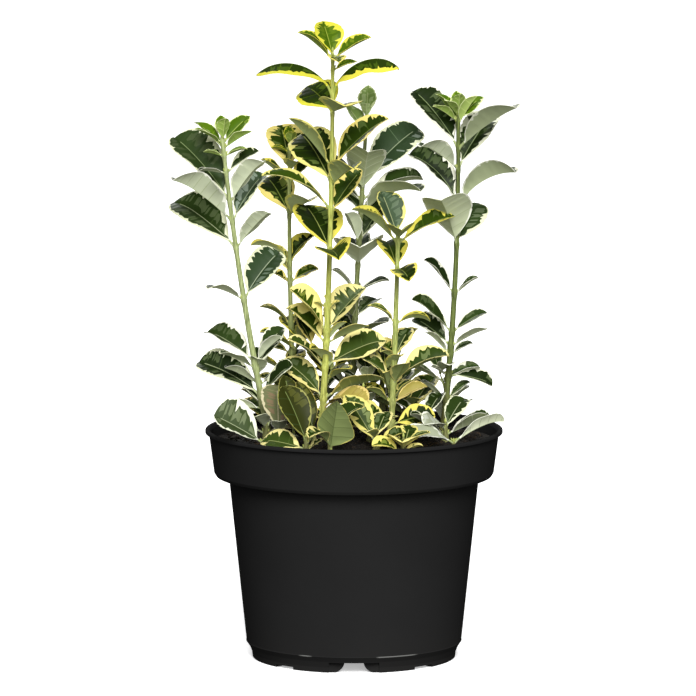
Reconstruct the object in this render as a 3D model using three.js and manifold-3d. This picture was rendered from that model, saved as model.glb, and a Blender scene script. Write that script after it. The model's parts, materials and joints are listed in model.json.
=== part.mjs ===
// A potted wintercreeper: six upright shoots with pairs of variegated leaves, low tufts of leaves at
// their feet, the compost they stand in and a round black nursery pot with a deep collar.
// Millimetres, +Z up. The origin is on the flat pad under the middle of the pot, and -Y is the front.

import * as THREE from "three";
import Module from "manifold-3d";
import { mergeVertices } from "three/addons/utils/BufferGeometryUtils.js";

const wasm = await Module();
wasm.setup();

// The pot
const rimRadius = 95;
const potHeight = 147;
const collarHeight = 29.5;
const collarFootRadius = 89.4;
const bodyTopRadius = 80;
const bodyFootRadius = 68.8;
const creaseHeight = 10.6;
const footRadius = 65;
const footRingWidth = 6;
const wall = 1.6;
const lip = 1.9;
const floorUnderside = 7;
const padRadius = 14;
const potSides = 36;

// The gaps in the pot's foot: two deep ones with a flared way through, and four shallow ones
const deepGapHeight = 6;
const deepGapWidth = 32;
const deepGapRecess = 3.3;
const wayThroughTop = 12;
const wayThroughFoot = 24;
const deepGapTurns = [0, 180];
const shallowGapHeight = 1.8;
const shallowGapWidth = 15;
const shallowGapTurns = [43, 137, 223, 317];
const drainCount = 8;
const drainLength = 16;
const drainWidth = 5;
const drainRadius = 48;

// The compost
const domeSteps = 6;
const compostEdge = 139;
const compostRise = 11;
const compostRadius = 90;
const mound = { x: 24, y: 28, spread: 17, rise: 8 };

// Touching pieces keep this gap, and leaves keep the wider one
const seatGap = 0.3;
const leafGap = 0.6;
const fineness = 0.06;

// Stems
const stemSides = 8;
const stemStep = 20;
const flare = 1.1;
const flareHeight = 7;
const shortestBare = 3;
const massBelow = 4;
const massAbove = 9;

// Leaves: where the sections lie along a leaf, and their half width as a share of the widest. The stalk
// leaves the stem more steeply than the blade goes on.
const leafSections = {
  silver: [[0, 0.07], [0.12, 0.1], [0.32, 0.66], [0.56, 0.97], [0.82, 0.9], [1, 0.28]],
  gold: [[0, 0.07], [0.12, 0.1], [0.34, 0.76], [0.58, 1], [0.82, 0.74], [1, 0.16]],
};
const smallSections = {
  silver: [[0, 0.07], [0.12, 0.1], [0.44, 0.86], [0.76, 0.94], [1, 0.26]],
  gold: [[0, 0.07], [0.12, 0.1], [0.44, 0.92], [0.74, 0.84], [1, 0.18]],
};
const smallLeaf = 31;
const stalkShare = 0.12;
const stalkLift = 22;
const steepest = 86;
const leafThickness = 0.9;
const leafWidth = { silver: [0.46, 0.56], gold: [0.46, 0.6] };
const leafFold = [14, 34];
const rootDepth = 0.6;
const turnTries = [0, 9, -9, 18, -18, 28, -28];
const riseTries = [0, 9, -9, 18];

// Each shoot runs from its foot to its tip, with a sideways bow at its middle. A row of a leaf mass is
// one pair of leaves: height above the floor, turn about the stem, bend from stalk to tip, then length,
// rise and roll of the leaf on that side and of the one opposite, where there is one, with its breadth as
// a share of its length where that stands out. A leaf that rolls forwards shows more of its upper face to
// the front. Lengths in millimetres, angles in degrees.
const shoots = [
  {
    name: "left",
    kind: "silver",
    foot: [-54.5, -3],
    tip: [-84, -3],
    top: 338,
    bow: [-2.5, 0],
    radius: [2.1, 1.1],
    masses: {
      low: [
        [163, -30, 15, [14, 50, 0], [17, 44, 5]],
        [168, -25, 20, [30, 55, 35], [48, 33, 30]],
        [186, 32, 15, [32, 58, 15], [28, 31, -8]],
        [190, -28, 15, [26, 50, -8], [39, 34, 14]],
      ],
      middle: [[230, 30, 20, [38, 56, 16], [28, 30, -12]]],
      top: [
        [263, -30, 15, [34, 52, -14], [54, 38, 22]],
        [280, 32, 15, [38, 58, 20], [52, 42, -12]],
        [292, -34, 15, [38, 56, -10], [58, 50, 24]],
        [311, 25, 15, [26, 36, 14], [19, 14, 0]],
        [322, 0, 20, [15, 28, 5], [13, 20, 0]],
        [327, -20, 12, [22, 36, -5], [25, 46, 10]],
        [330, 22, 12, [25, 48, 28], [21, 34, 8]],
        [332, -75, 8, [17, 66, 0], [17, 70, 0]],
      ],
    },
  },
  {
    name: "second",
    kind: "gold",
    foot: [-38, 34],
    tip: [-41, 31],
    top: 330,
    bow: [-1.5, 0],
    radius: [1.9, 1],
    masses: {
      low: [
        [163, 10, 20, [22, 40, 10], [26, 40, 10]],
        [176, 80, 20, [24, 50, 0], [24, 40, 0]],
        [191, -10, 25, [22, 52, 10], [20, 20, 20]],
        [209, 0, 46, [18, 60, 10], [24, 52, 0]],
      ],
      middle: [
        [237, 5, 15, [20, 34, 24], [13, 36, 10]],
        [243, 155, 12, [21, 62, 24]],
        [249, 12, 40, [24, 66, 24], [29, 46, -6]],
      ],
      top: [
        [280, -58, 20, [28, 34, -6, 0.74], [38, 46, 14, 0.6]],
        [301, 10, 12, [22, 46, 26], [24, 46, 10]],
        [309, 106, 15, [34, 62, 0, 0.64], [20, 28, 0, 0.72]],
        [321, 8, 20, [14, 4, 10], [12, 24, 8]],
        [325, 102, 8, [14, 66, 0], [13, 54, 0]],
      ],
    },
  },
  {
    name: "centre",
    kind: "gold",
    foot: [-20.5, -12],
    tip: [-13.5, -8],
    top: 390,
    bow: [1.8, 0],
    radius: [2.2, 1],
    masses: {
      low: [
        [155, 10, 15, [12, 34, 10], [12, 20, 10]],
        [168, -15, 22, [42, 28, -14], [38, 46, 38]],
        [188, 5, 20, [42, 32, 34], [30, 48, 8]],
        [203, -15, 15, [30, 30, -16], [34, 48, 18]],
        [211, 20, 15, [37, 53, 20], [37, 54, 30]],
      ],
      middle: [
        [262, 100, 22, [41, 50, 0, 0.66], [30, 6, 16, 0.84]],
        [286, 12, 15, [34, 60, 32]],
        [288, 186, 50, [52, 50, 6, 0.36]],
      ],
      upper: [
        [304, -60, 20, [34, 34, -6, 0.64], [50, 47, 24]],
        [315, 8, 15, [48, 48, 18], [42, 56, 0]],
      ],
      top: [
        [350, -55, 25, [30, 20, -10, 0.66], [32, 38, 10, 0.66]],
        [361, 0, 62, [50, 44, 6], [52, 38, 2]],
        [377, 20, 15, [17, 24, 12]],
        [384, 0, 14, [28, 36, 8], [28, 46, 0]],
        [385, 100, 15, [28, 64, 0], [16, 14, 0]],
      ],
    },
  },
  {
    name: "back",
    kind: "silver",
    foot: [-2.5, 22],
    tip: [8.5, 21],
    top: 350,
    bow: [-0.5, 0],
    radius: [2, 1],
    masses: {
      low: [
        [168, -20, 20, [28, 34, 0], [28, 38, 10]],
        [184, 60, 20, [28, 44, 10], [24, 34, 0]],
        [201, -35, 20, [30, 36, 10], [24, 54, 14]],
        [215, 55, 20, [28, 30, 12], [24, 46, 0]],
      ],
      middle: [
        [232, 0, 20, [22, 30, 5], [21, 54, 5]],
        [249, -88, 20, [34, 34, 0, 0.7], [32, 36, 0]],
        [264, 38, 15, [36, 52, 16], [22, 72, -14]],
      ],
      top: [
        [282, -30, 46, [50, 42, -12], [26, 60, 10]],
        [291, 8, 20, [42, 28, 5], [20, 36, 5]],
        [296, -78, 15, [38, 58, 0, 0.68], [26, 34, 0]],
        [301, 30, 15, [54, 47, 22], [28, 44, 10]],
        [334, -35, 10, [18, 42, 0], [24, 52, 16]],
        [344, 84, 10, [22, 72, 0], [12, 60, 0]],
      ],
    },
  },
  {
    name: "front",
    kind: "gold",
    foot: [23.5, -20],
    tip: [28, -9],
    top: 277,
    bow: [0.5, 0],
    radius: [2, 1.3],
    masses: {
      low: [
        [152, 12, 15, [28, 25, 24], [25, 38, 28]],
        [166, 5, 14, [20, 50, 30], [19, 38, 5]],
        [178, -62, 15, [24, 48, 0], [22, 44, 0]],
        [181, 3, 14, [38, 30, 18], [26, 40, 14]],
        [194, 50, 15, [24, 56, 10], [14, 34, 0]],
      ],
      middle: [[216, 0, 62, [23, 32, 6], [22, 60, 2]]],
      top: [
        [250, -72, 30, [27, 6, 12], [30, 44, 0]],
        [267, 6, 20, [40, 34, 16], [37, 48, 6]],
        [270, -82, 12, [24, 26, 0, 0.8], [34, 62, 0, 0.6]],
      ],
    },
  },
  {
    name: "right",
    kind: "silver",
    foot: [57, 14],
    tip: [66, 10],
    top: 352,
    bow: [3.4, 0],
    radius: [2.1, 1.1],
    masses: {
      low: [
        [163, 12, 15, [19, 46, 20], [20, 46, 8]],
        [179, 10, 20, [29, -5, 28], [12, 40, 10]],
        [193, 20, 15, [16, 30, 8], [22, 50, -8]],
        [198, -25, 15, [27, 34, -8], [31, 40, 24]],
        [207, 15, 15, [26, 36, 16], [34, 48, 14]],
      ],
      middle: [[232, 0, 12, [18, 42, 4], [29, 56, 0]]],
      top: [
        [264, 66, 20, [36, 50, 8], [44, 43, -10, 0.66]],
        [289, -25, 48, [49, 50, -14], [48, 62, 20]],
        [312, 44, 15, [46, 54, 14], [38, 36, -6]],
        [325, -30, 15, [52, 40, -10], [48, 56, 18]],
        [341, -15, 10, [22, 62, -4], [24, 60, 10]],
        [343, 25, 14, [23, 48, 26], [20, 38, -6]],
        [346, -80, 8, [17, 68, 0], [17, 74, 0]],
      ],
    },
  },
];

// Low tufts: short side shoots that leave the compost near the tall ones. Their rows are the same, with
// the height above the compost.
const tuftAbove = 5;
const tufts = [
  {
    name: "left",
    kind: "silver",
    foot: [-56, -24],
    pairs: [[4, -12, 15, [18, 20, 10], [38, 28, 30]], [8, 75, 12, [42, 30, 10], [24, 30, 0]]],
  },
  {
    name: "front_left",
    kind: "gold",
    foot: [-30, -73],
    pairs: [[4, 0, 12, [12, 40, 20], [32, 12, 26]], [8, -35, 12, [14, 50, 0], [40, 66, 28]]],
  },
  {
    name: "front",
    kind: "gold",
    foot: [-15, -78],
    pairs: [[3, -34, 6, [39, 68, -38, 0.64], [28, 50, 10]], [9, 22, 60, [34, 62, 10], [24, 44, 10]]],
  },
  {
    name: "front_middle",
    kind: "gold",
    foot: [14, -64],
    pairs: [[4, -14, 6, [20, 18, 0], [38, 54, -4]], [8, 70, 15, [24, 44, 0], [18, 26, 0]]],
  },
  {
    name: "front_right",
    kind: "gold",
    foot: [31, -72],
    pairs: [[4, -95, 15, [20, 44, 0, 0.8], [22, 44, 0]], [8, -10, 15, [18, 30, 10], [18, 42, 10]]],
  },
  {
    name: "right",
    kind: "silver",
    foot: [58, -26],
    pairs: [[4, -20, 12, [38, 34, -6], [26, 36, 10]], [8, -122, 15, [32, 22, 0], [28, 44, 10]]],
  },
  {
    name: "middle_right",
    kind: "gold",
    foot: [34, 12],
    pairs: [[4, 18, 12, [36, 46, 15], [26, 34, 0]], [8, 110, 12, [26, 45, 0], [24, 30, 0]]],
  },
  {
    name: "middle",
    kind: "gold",
    foot: [-37, 8],
    pairs: [
      [4, -20, 15, [24, 50, 10], [28, 44, 20]],
      [9, 70, 15, [28, 52, 0], [26, 44, 0]],
      [16, -15, 15, [22, 56, 10], [24, 60, 20]],
    ],
  },
  {
    name: "inner",
    kind: "silver",
    foot: [8, 0],
    pairs: [
      [4, 20, 15, [26, 40, 10], [26, 36, 10]],
      [10, 105, 15, [28, 50, 0], [24, 40, 0]],
      [20, 10, 15, [24, 52, 20], [24, 48, 10]],
      [26, 95, 15, [20, 60, 0], [18, 50, 0]],
    ],
  },
  {
    name: "back_left",
    kind: "silver",
    foot: [-20, 58],
    pairs: [
      [4, 20, 15, [30, 38, 0], [30, 34, 0]],
      [10, 108, 15, [30, 30, 0], [24, 44, 0]],
      [18, 25, 15, [26, 50, 0], [28, 46, 0]],
    ],
  },
  {
    name: "back_right",
    kind: "gold",
    foot: [27, 56],
    pairs: [
      [4, -15, 15, [30, 34, 0], [30, 40, 0]],
      [10, 80, 15, [28, 30, 0], [24, 42, 0]],
      [18, -20, 15, [26, 48, 0], [26, 50, 0]],
    ],
  },
];

const looks = {
  pot: { color: 0x1b1b1b, roughness: 0.45, metalness: 0 },
  compost: { color: 0x2a211a, roughness: 1, metalness: 0 },
  stem: { color: 0x8c9a58, roughness: 0.6, metalness: 0 },
  silver: { color: 0x4d6640, roughness: 0.4, metalness: 0 },
  gold: { color: 0x7d8f2e, roughness: 0.4, metalness: 0 },
};

const radians = (degrees) => (degrees * Math.PI) / 180;

// A repeatable number from 0 to 1 for each whole number
function chance(n) {
  const s = Math.sin(n * 12.9898) * 43758.5453;
  return s - Math.floor(s);
}

function solidOf(geometry) {
  const bare = geometry.clone();
  bare.deleteAttribute("normal");
  bare.deleteAttribute("uv");
  const merged = mergeVertices(bare, 1e-4);
  return new wasm.Manifold(
    new wasm.Mesh({
      numProp: 3,
      vertProperties: new Float32Array(merged.attributes.position.array),
      triVerts: new Uint32Array(merged.index.array),
    }),
  );
}

function meshOf(name, solid, look) {
  const found = solid.getMesh();
  const geometry = new THREE.BufferGeometry();
  geometry.setAttribute("position", new THREE.BufferAttribute(new Float32Array(found.vertProperties), 3));
  geometry.setIndex(new THREE.BufferAttribute(new Uint32Array(found.triVerts), 1));
  geometry.computeVertexNormals();
  const mesh = new THREE.Mesh(geometry, new THREE.MeshStandardMaterial(looks[look]));
  mesh.name = name;
  return mesh;
}

// A closed skin over rings of the same number of points, each ring listed counter-clockwise seen from
// the end that the skin runs to
function skinOver(rings) {
  const sides = rings[0].length;
  const points = rings.flat().flatMap((p) => [p.x, p.y, p.z]);
  const faces = [];
  for (let i = 0; i < rings.length - 1; i++) {
    for (let k = 0; k < sides; k++) {
      const a = i * sides + k;
      const b = i * sides + ((k + 1) % sides);
      faces.push(a, b, b + sides, a, b + sides, a + sides);
    }
  }
  const last = (rings.length - 1) * sides;
  for (let k = 1; k < sides - 1; k++) {
    faces.push(0, k + 1, k);
    faces.push(last, last + k, last + k + 1);
  }
  const geometry = new THREE.BufferGeometry();
  geometry.setAttribute("position", new THREE.Float32BufferAttribute(points, 3));
  geometry.setIndex(faces);
  return solidOf(geometry);
}

function lathe(profile, sides) {
  const points = profile.map(([r, z]) => new THREE.Vector2(r, z));
  const geometry = new THREE.LatheGeometry(points, sides);
  geometry.rotateX(Math.PI / 2);
  return solidOf(geometry);
}

function compostTop(x, y) {
  const share = Math.min(1, Math.hypot(x, y) / compostRadius);
  const apart = Math.hypot(x - mound.x, y - mound.y) / mound.spread;
  return compostEdge + compostRise * (1 - share * share) ** 1.5 + mound.rise * Math.exp(-apart * apart);
}

// An upright prism through the pot's foot, its outline drawn as seen from the front, turned to its place
function footCutter(outline, from, to, turn) {
  const shape = new THREE.Shape(outline.map(([x, z]) => new THREE.Vector2(x, z)));
  const geometry = new THREE.ExtrudeGeometry(shape, { depth: to - from, bevelEnabled: false });
  geometry.rotateX(Math.PI / 2);
  geometry.translate(0, -from, 0);
  geometry.rotateZ(radians(turn));
  return solidOf(geometry);
}

function boxOutline(width, low, high) {
  return [[-width / 2, low], [width / 2, low], [width / 2, high], [-width / 2, high]];
}

function makePot() {
  const collarFoot = potHeight - collarHeight;
  const neck = rimRadius - 2.4;
  const floorTop = floorUnderside + wall;
  const profile = [
    [0, 0],
    [padRadius, 0],
    [padRadius, floorUnderside],
    [footRadius - footRingWidth, floorUnderside],
    [footRadius - footRingWidth, 0],
    [footRadius, 0],
    [footRadius + 0.3, 3.4],
    [footRadius + 1.8, 7.2],
    [bodyFootRadius, creaseHeight],
    [bodyTopRadius, collarFoot - 0.5],
    [bodyTopRadius + 0.8, collarFoot],
    [collarFootRadius - 1.8, collarFoot],
    [collarFootRadius - 0.5, collarFoot + 0.8],
    [collarFootRadius, collarFoot + 2.4],
    [neck, potHeight - lip - 1.2],
    [rimRadius - 0.5, potHeight - lip - 0.4],
    [rimRadius, potHeight - lip / 2],
    [rimRadius - 0.6, potHeight - 0.2],
    [rimRadius - lip, potHeight],
    [rimRadius - 2 * lip, potHeight - lip],
    [collarFootRadius - wall, collarFoot + 2.4 + wall],
    [bodyTopRadius - wall + 0.8, collarFoot + wall],
    [bodyTopRadius - wall, collarFoot - 0.5],
    [bodyFootRadius - wall, creaseHeight + 0.6],
    [bodyFootRadius - wall - 1.6, floorTop],
    [0, floorTop],
  ];
  const outside = footRadius + 6;
  const inside = footRadius - footRingWidth - 2;
  const top = wayThroughTop / 2;
  const foot = wayThroughFoot / 2;
  const recess = boxOutline(deepGapWidth, -1, deepGapHeight);
  const wayThrough = [
    [-foot, -1],
    [foot, -1],
    [foot, 0.2],
    [top + 2.2, deepGapHeight * 0.35],
    [top, deepGapHeight],
    [-top, deepGapHeight],
    [-top - 2.2, deepGapHeight * 0.35],
    [-foot, 0.2],
  ];
  const shallow = boxOutline(shallowGapWidth, -1, shallowGapHeight);
  const slot = boxOutline(drainWidth, floorUnderside - 1, floorTop + 1);
  const cutters = [];
  for (const turn of deepGapTurns) {
    cutters.push(footCutter(recess, footRadius - deepGapRecess, outside, turn));
    cutters.push(footCutter(wayThrough, inside, outside, turn));
  }
  for (const turn of shallowGapTurns) {
    cutters.push(footCutter(shallow, inside, outside, turn));
  }
  for (let i = 0; i < drainCount; i++) {
    const turn = ((i + 0.5) * 360) / drainCount;
    cutters.push(footCutter(slot, drainRadius - drainLength / 2, drainRadius + drainLength / 2, turn));
  }
  return lathe(profile, potSides).subtract(wasm.Manifold.union(cutters));
}

// The compost fills the pot, and every stem stands in a shallow seat in it
function makeCompost(plants) {
  const collarFoot = potHeight - collarHeight;
  const floorTop = floorUnderside + wall;
  const clear = wall + seatGap + 0.1;
  const sides = [
    [bodyFootRadius - clear - 1.8, floorTop + seatGap],
    [bodyFootRadius - clear, creaseHeight + 1.2],
    [bodyTopRadius - clear, collarFoot],
    [bodyTopRadius - clear + 0.2, collarFoot + wall + seatGap + 0.4],
    [collarFootRadius - clear - 1, collarFoot + 3 + wall],
  ];
  const rings = sides.map(([r, z]) => circle(r, () => z));
  for (let i = 0; i < domeSteps; i++) {
    rings.push(circle(compostRadius * (1 - i / domeSteps), compostTop));
  }
  rings.push(circle(2, () => compostTop(0, 0)));
  const seats = plants.map(({ foot, radius, level }) => {
    const reach = radius[0] + flare + 1.1;
    const seat = new THREE.CylinderGeometry(reach, reach, 12, 6);
    seat.rotateX(Math.PI / 2);
    seat.translate(foot[0], foot[1], level - seatGap + 6);
    return solidOf(seat);
  });
  return skinOver(rings).subtract(wasm.Manifold.union(seats));
}

function circle(radius, heightAt) {
  return Array.from({ length: potSides }, (_, k) => {
    const angle = (2 * Math.PI * k) / potSides;
    const [x, y] = [radius * Math.cos(angle), radius * Math.sin(angle)];
    return new THREE.Vector3(x, y, heightAt(x, y));
  });
}

// The middle of a shoot's stem at a height
function stemAt(shoot, z) {
  const share = (z - shoot.level) / (shoot.top - shoot.level);
  const swing = 4 * share * (1 - share);
  return new THREE.Vector3(
    shoot.foot[0] + (shoot.tip[0] - shoot.foot[0]) * share + shoot.bow[0] * swing,
    shoot.foot[1] + (shoot.tip[1] - shoot.foot[1]) * share + shoot.bow[1] * swing,
    z,
  );
}

function stemRadius(shoot, z) {
  const share = (z - shoot.level) / (shoot.top - shoot.level);
  const spread = Math.max(0, 1 - (z - shoot.level) / flareHeight);
  return shoot.radius[0] + (shoot.radius[1] - shoot.radius[0]) * share + flare * spread * spread;
}

function stemPart(shoot, from, to) {
  const steps = Math.max(1, Math.ceil((to - from) / stemStep));
  const heights = Array.from({ length: steps + 1 }, (_, i) => from + ((to - from) * i) / steps);
  const extra = [shoot.level + flareHeight / 3, shoot.level + flareHeight];
  heights.push(...extra.filter((z) => z > from + 1 && z < to - 1));
  heights.sort((a, b) => a - b);
  const rings = heights.map((z) => {
    const middle = stemAt(shoot, z);
    const radius = stemRadius(shoot, z);
    return Array.from({ length: stemSides }, (_, k) => {
      const angle = (2 * Math.PI * k) / stemSides;
      return new THREE.Vector3(radius * Math.cos(angle), radius * Math.sin(angle), 0).add(middle);
    });
  });
  return skinOver(rings);
}

// The midrib's angle above the level at a share of a leaf's length
function ribAngle(leaf, share) {
  if (share < stalkShare) {
    return Math.min(steepest, leaf.rise + stalkLift * (1 - share / stalkShare));
  }
  return leaf.rise - (leaf.bend * (share - stalkShare)) / (1 - stalkShare);
}

// One leaf on its stalk, from inside the stem outwards: a bent midrib with both halves folded up
function leafSolid(leaf) {
  const turn = radians(leaf.turn);
  const roll = radians(leaf.roll);
  const fold = radians(leaf.fold);
  const outwards = new THREE.Vector3(Math.cos(turn), Math.sin(turn), 0);
  const sideways = new THREE.Vector3(-Math.sin(turn), Math.cos(turn), 0);
  const up = new THREE.Vector3(0, 0, 1);
  const rib = leaf.middle.clone().addScaledVector(outwards, rootDepth * leaf.stemRadius);
  let before = 0;
  const sections = leaf.length < smallLeaf ? smallSections : leafSections;
  const rings = sections[leaf.kind].map(([share, wide]) => {
    const way = radians(ribAngle(leaf, (before + share) / 2));
    rib.addScaledVector(outwards, leaf.length * (share - before) * Math.cos(way));
    rib.addScaledVector(up, leaf.length * (share - before) * Math.sin(way));
    before = share;
    const angle = radians(ribAngle(leaf, share));
    const level = outwards.clone().multiplyScalar(-Math.sin(angle)).addScaledVector(up, Math.cos(angle));
    const normal = level.clone().multiplyScalar(Math.cos(roll)).addScaledVector(sideways, -Math.sin(roll));
    const side = sideways.clone().multiplyScalar(Math.cos(roll)).addScaledVector(level, Math.sin(roll));
    const half = (wide * leaf.width) / 2;
    const reach = half * Math.cos(fold);
    const lift = half * Math.sin(fold);
    const thick = (leafThickness / 2) * (wide < 0.15 ? 1.3 : 1);
    return [
      rib.clone().addScaledVector(side, reach).addScaledVector(normal, lift),
      rib.clone().addScaledVector(normal, thick),
      rib.clone().addScaledVector(side, -reach).addScaledVector(normal, lift),
      rib.clone().addScaledVector(normal, -thick),
    ];
  });
  return skinOver(rings);
}

function between([least, most], share) {
  return least + (most - least) * share;
}

// The leaves of a pair, with small seeded differences
function pairLeaves(shoot, row, number) {
  const [height, turn, bend, ...sides] = row;
  return sides.map(([length, rise, roll, breadth], side) => {
    const seed = 10 * (2 * number + side);
    const way = turn + 180 * side + 4 * (chance(seed + 1) - 0.5);
    return {
      kind: shoot.kind,
      middle: stemAt(shoot, height),
      stemRadius: stemRadius(shoot, height),
      turn: way,
      rise,
      bend,
      roll: (Math.cos(radians(way)) > 0 ? 1 : -1) * roll + 8 * (chance(seed + 2) - 0.5),
      fold: between(leafFold, chance(seed + 3)),
      length,
      width: length * (breadth ?? between(leafWidth[shoot.kind], chance(seed + 4))),
    };
  });
}

function near(a, b) {
  return [0, 1, 2].every((i) => a.min[i] - leafGap < b.max[i] && b.min[i] - leafGap < a.max[i]);
}

function placed(leaf, obstacles) {
  for (const rise of riseTries) {
    for (const turn of turnTries) {
      const solid = leafSolid({ ...leaf, turn: leaf.turn + turn, rise: leaf.rise + rise });
      const box = solid.boundingBox();
      if (obstacles.every((o) => !near(box, o.box) || solid.minGap(o.solid, leafGap) >= leafGap)) {
        return solid;
      }
    }
  }
  return null;
}

const obstacleOf = (solid) => ({ solid, box: solid.boundingBox() });

// Every tall shoot is cut into bare lengths of stem and the lengths inside its leaf masses
function parts(shoot) {
  const list = [];
  let from = shoot.level;
  Object.entries(shoot.masses).forEach(([place, rows], i, all) => {
    const bare = rows[0][0] - massBelow - from > shortestBare;
    const low = bare ? rows[0][0] - massBelow : from;
    const high = i === all.length - 1 ? shoot.top : rows[rows.length - 1][0] + massAbove;
    if (bare) {
      const stem = stemPart(shoot, from, low - seatGap);
      const order = 1 + list.filter((part) => !part.kind).length;
      list.push({ shoot, name: `${shoot.name}_stem_${order}`, rows: [], stem });
    }
    const stem = stemPart(shoot, low, high);
    list.push({ shoot, name: `${shoot.name}_leaves_${place}`, kind: shoot.kind, rows, stem });
    from = high + seatGap;
  });
  return list;
}

for (const shoot of shoots) {
  shoot.level = compostTop(...shoot.foot) - 0.4;
}
for (const tuft of tufts) {
  tuft.level = compostTop(...tuft.foot) - 0.4;
  tuft.tip = tuft.foot;
  tuft.bow = [0, 0];
  tuft.radius = [1.5, 1.1];
  tuft.rows = tuft.pairs.map(([height, ...pair]) => [tuft.level + height, ...pair]);
  tuft.top = tuft.rows[tuft.rows.length - 1][0] + tuftAbove;
}

const pot = makePot();
const compost = makeCompost([...shoots, ...tufts]);
const pieces = shoots.flatMap(parts);
for (const tuft of tufts) {
  const stem = stemPart(tuft, tuft.level, tuft.top);
  pieces.push({ shoot: tuft, name: `tuft_${tuft.name}`, kind: tuft.kind, rows: tuft.rows, stem });
}
for (const piece of pieces) {
  piece.obstacle = obstacleOf(piece.stem);
}

// Each mass is its own stem with the leaves that clear everything else
const done = [obstacleOf(pot), obstacleOf(compost)];
let number = 0;
const group = new THREE.Group();
group.add(meshOf("pot", pot, "pot"), meshOf("compost", compost, "compost"));
for (const piece of pieces) {
  const obstacles = [...done, ...pieces.filter((p) => p !== piece).map((p) => p.obstacle)];
  const leaves = [];
  for (const row of piece.rows) {
    number += 1;
    for (const leaf of pairLeaves(piece.shoot, row, number)) {
      const solid = placed(leaf, obstacles);
      if (solid) {
        leaves.push(solid);
      }
    }
  }
  const solid = wasm.Manifold.union([piece.stem, ...leaves]).simplify(fineness);
  if (leaves.length) {
    done.push(obstacleOf(solid));
  }
  group.add(meshOf(piece.name, solid, piece.kind ?? "stem"));
}

export default group;
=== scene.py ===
# A potted wintercreeper in a black nursery pot. The camera and the lights come first, then the pot, the
# compost and its crumbs, the leaves, which grow in pairs by one rule, and the stems with their buds.
import json
import math
import bmesh
import bpy
import numpy as np
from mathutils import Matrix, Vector, noise
from mathutils.bvhtree import BVHTree

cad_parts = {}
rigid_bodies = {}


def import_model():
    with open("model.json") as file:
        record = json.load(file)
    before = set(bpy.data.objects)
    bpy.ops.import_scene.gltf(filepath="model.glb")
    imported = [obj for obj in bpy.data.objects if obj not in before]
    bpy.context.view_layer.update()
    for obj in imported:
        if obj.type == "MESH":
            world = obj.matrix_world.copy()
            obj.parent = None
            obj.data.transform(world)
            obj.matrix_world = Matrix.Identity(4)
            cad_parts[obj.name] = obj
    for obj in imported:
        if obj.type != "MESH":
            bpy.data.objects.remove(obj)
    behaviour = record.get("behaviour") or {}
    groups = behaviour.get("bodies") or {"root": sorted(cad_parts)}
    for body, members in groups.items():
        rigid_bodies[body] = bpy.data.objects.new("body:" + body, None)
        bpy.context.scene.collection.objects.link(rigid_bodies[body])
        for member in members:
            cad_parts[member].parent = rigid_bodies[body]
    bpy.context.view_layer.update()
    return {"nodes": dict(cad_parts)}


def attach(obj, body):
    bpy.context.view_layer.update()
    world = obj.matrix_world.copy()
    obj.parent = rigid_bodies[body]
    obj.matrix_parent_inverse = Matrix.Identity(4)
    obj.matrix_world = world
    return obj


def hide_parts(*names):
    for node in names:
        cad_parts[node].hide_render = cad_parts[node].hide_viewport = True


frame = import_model()
mm = 0.001


def tone(code, lighter=1.0):
    # a colour as it looks on screen, "rrggbb", turned into the light it gives back
    shares = [int(code[i:i + 2], 16) / 255 for i in (0, 2, 4)]
    light = [s / 12.92 if s <= 0.04045 else ((s + 0.055) / 1.055) ** 2.4 for s in shares]
    return tuple(min(1.0, s * lighter) for s in light) + (1.0,)


def newObject(name, data):
    made = bpy.data.objects.new(name, data)
    bpy.context.scene.collection.objects.link(made)
    return made


def newMesh(name, points, faces, edges=()):
    # a mesh from points in millimetres
    mesh = bpy.data.meshes.new(name)
    mesh.from_pydata((np.asarray(points) * mm).tolist(), edges, faces)
    return mesh


def pointAt(thing, place, aim):
    thing.location = place
    thing.rotation_euler = (Vector(aim) - Vector(place)).to_track_quat("-Z", "Y").to_euler()


# The camera: a long lens a little above the pot, looking slightly down at the plant's middle
cameraPlan = {
    "place": (-3.8, -4200, 760), "aim": (-3.8, 0, 198.8), "lens": 343.745, "sensor": 36, "farthest": 100,
}


def makeCamera(plan):
    camera = newObject("camera", bpy.data.cameras.new("camera"))
    pointAt(camera, Vector(plan["place"]) * mm, Vector(plan["aim"]) * mm)
    camera.data.lens = plan["lens"]
    camera.data.sensor_width = plan["sensor"]
    camera.data.clip_end = plan["farthest"]
    bpy.context.scene.camera = camera


makeCamera(cameraPlan)
bpy.context.scene.view_settings.view_transform = "Standard"
print("camera ready")


# Node trees: Wire does sums with sockets, Sheet makes every other node
class Wire:
    def __init__(self, sheet, socket):
        self.sheet, self.socket = sheet, socket

    def math(self, operation, first, second=0.5):
        return self.sheet.node("ShaderNodeMath", {0: first, 1: second}, operation=operation)

    def __add__(self, other):
        return self.math("ADD", self, other)

    def __sub__(self, other):
        return self.math("SUBTRACT", self, other)

    def __rsub__(self, other):
        return self.math("SUBTRACT", other, self)

    def __mul__(self, other):
        return self.math("MULTIPLY", self, other)

    def __abs__(self):
        return self.math("ABSOLUTE", self)

    __radd__ = __add__
    __rmul__ = __mul__


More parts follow.
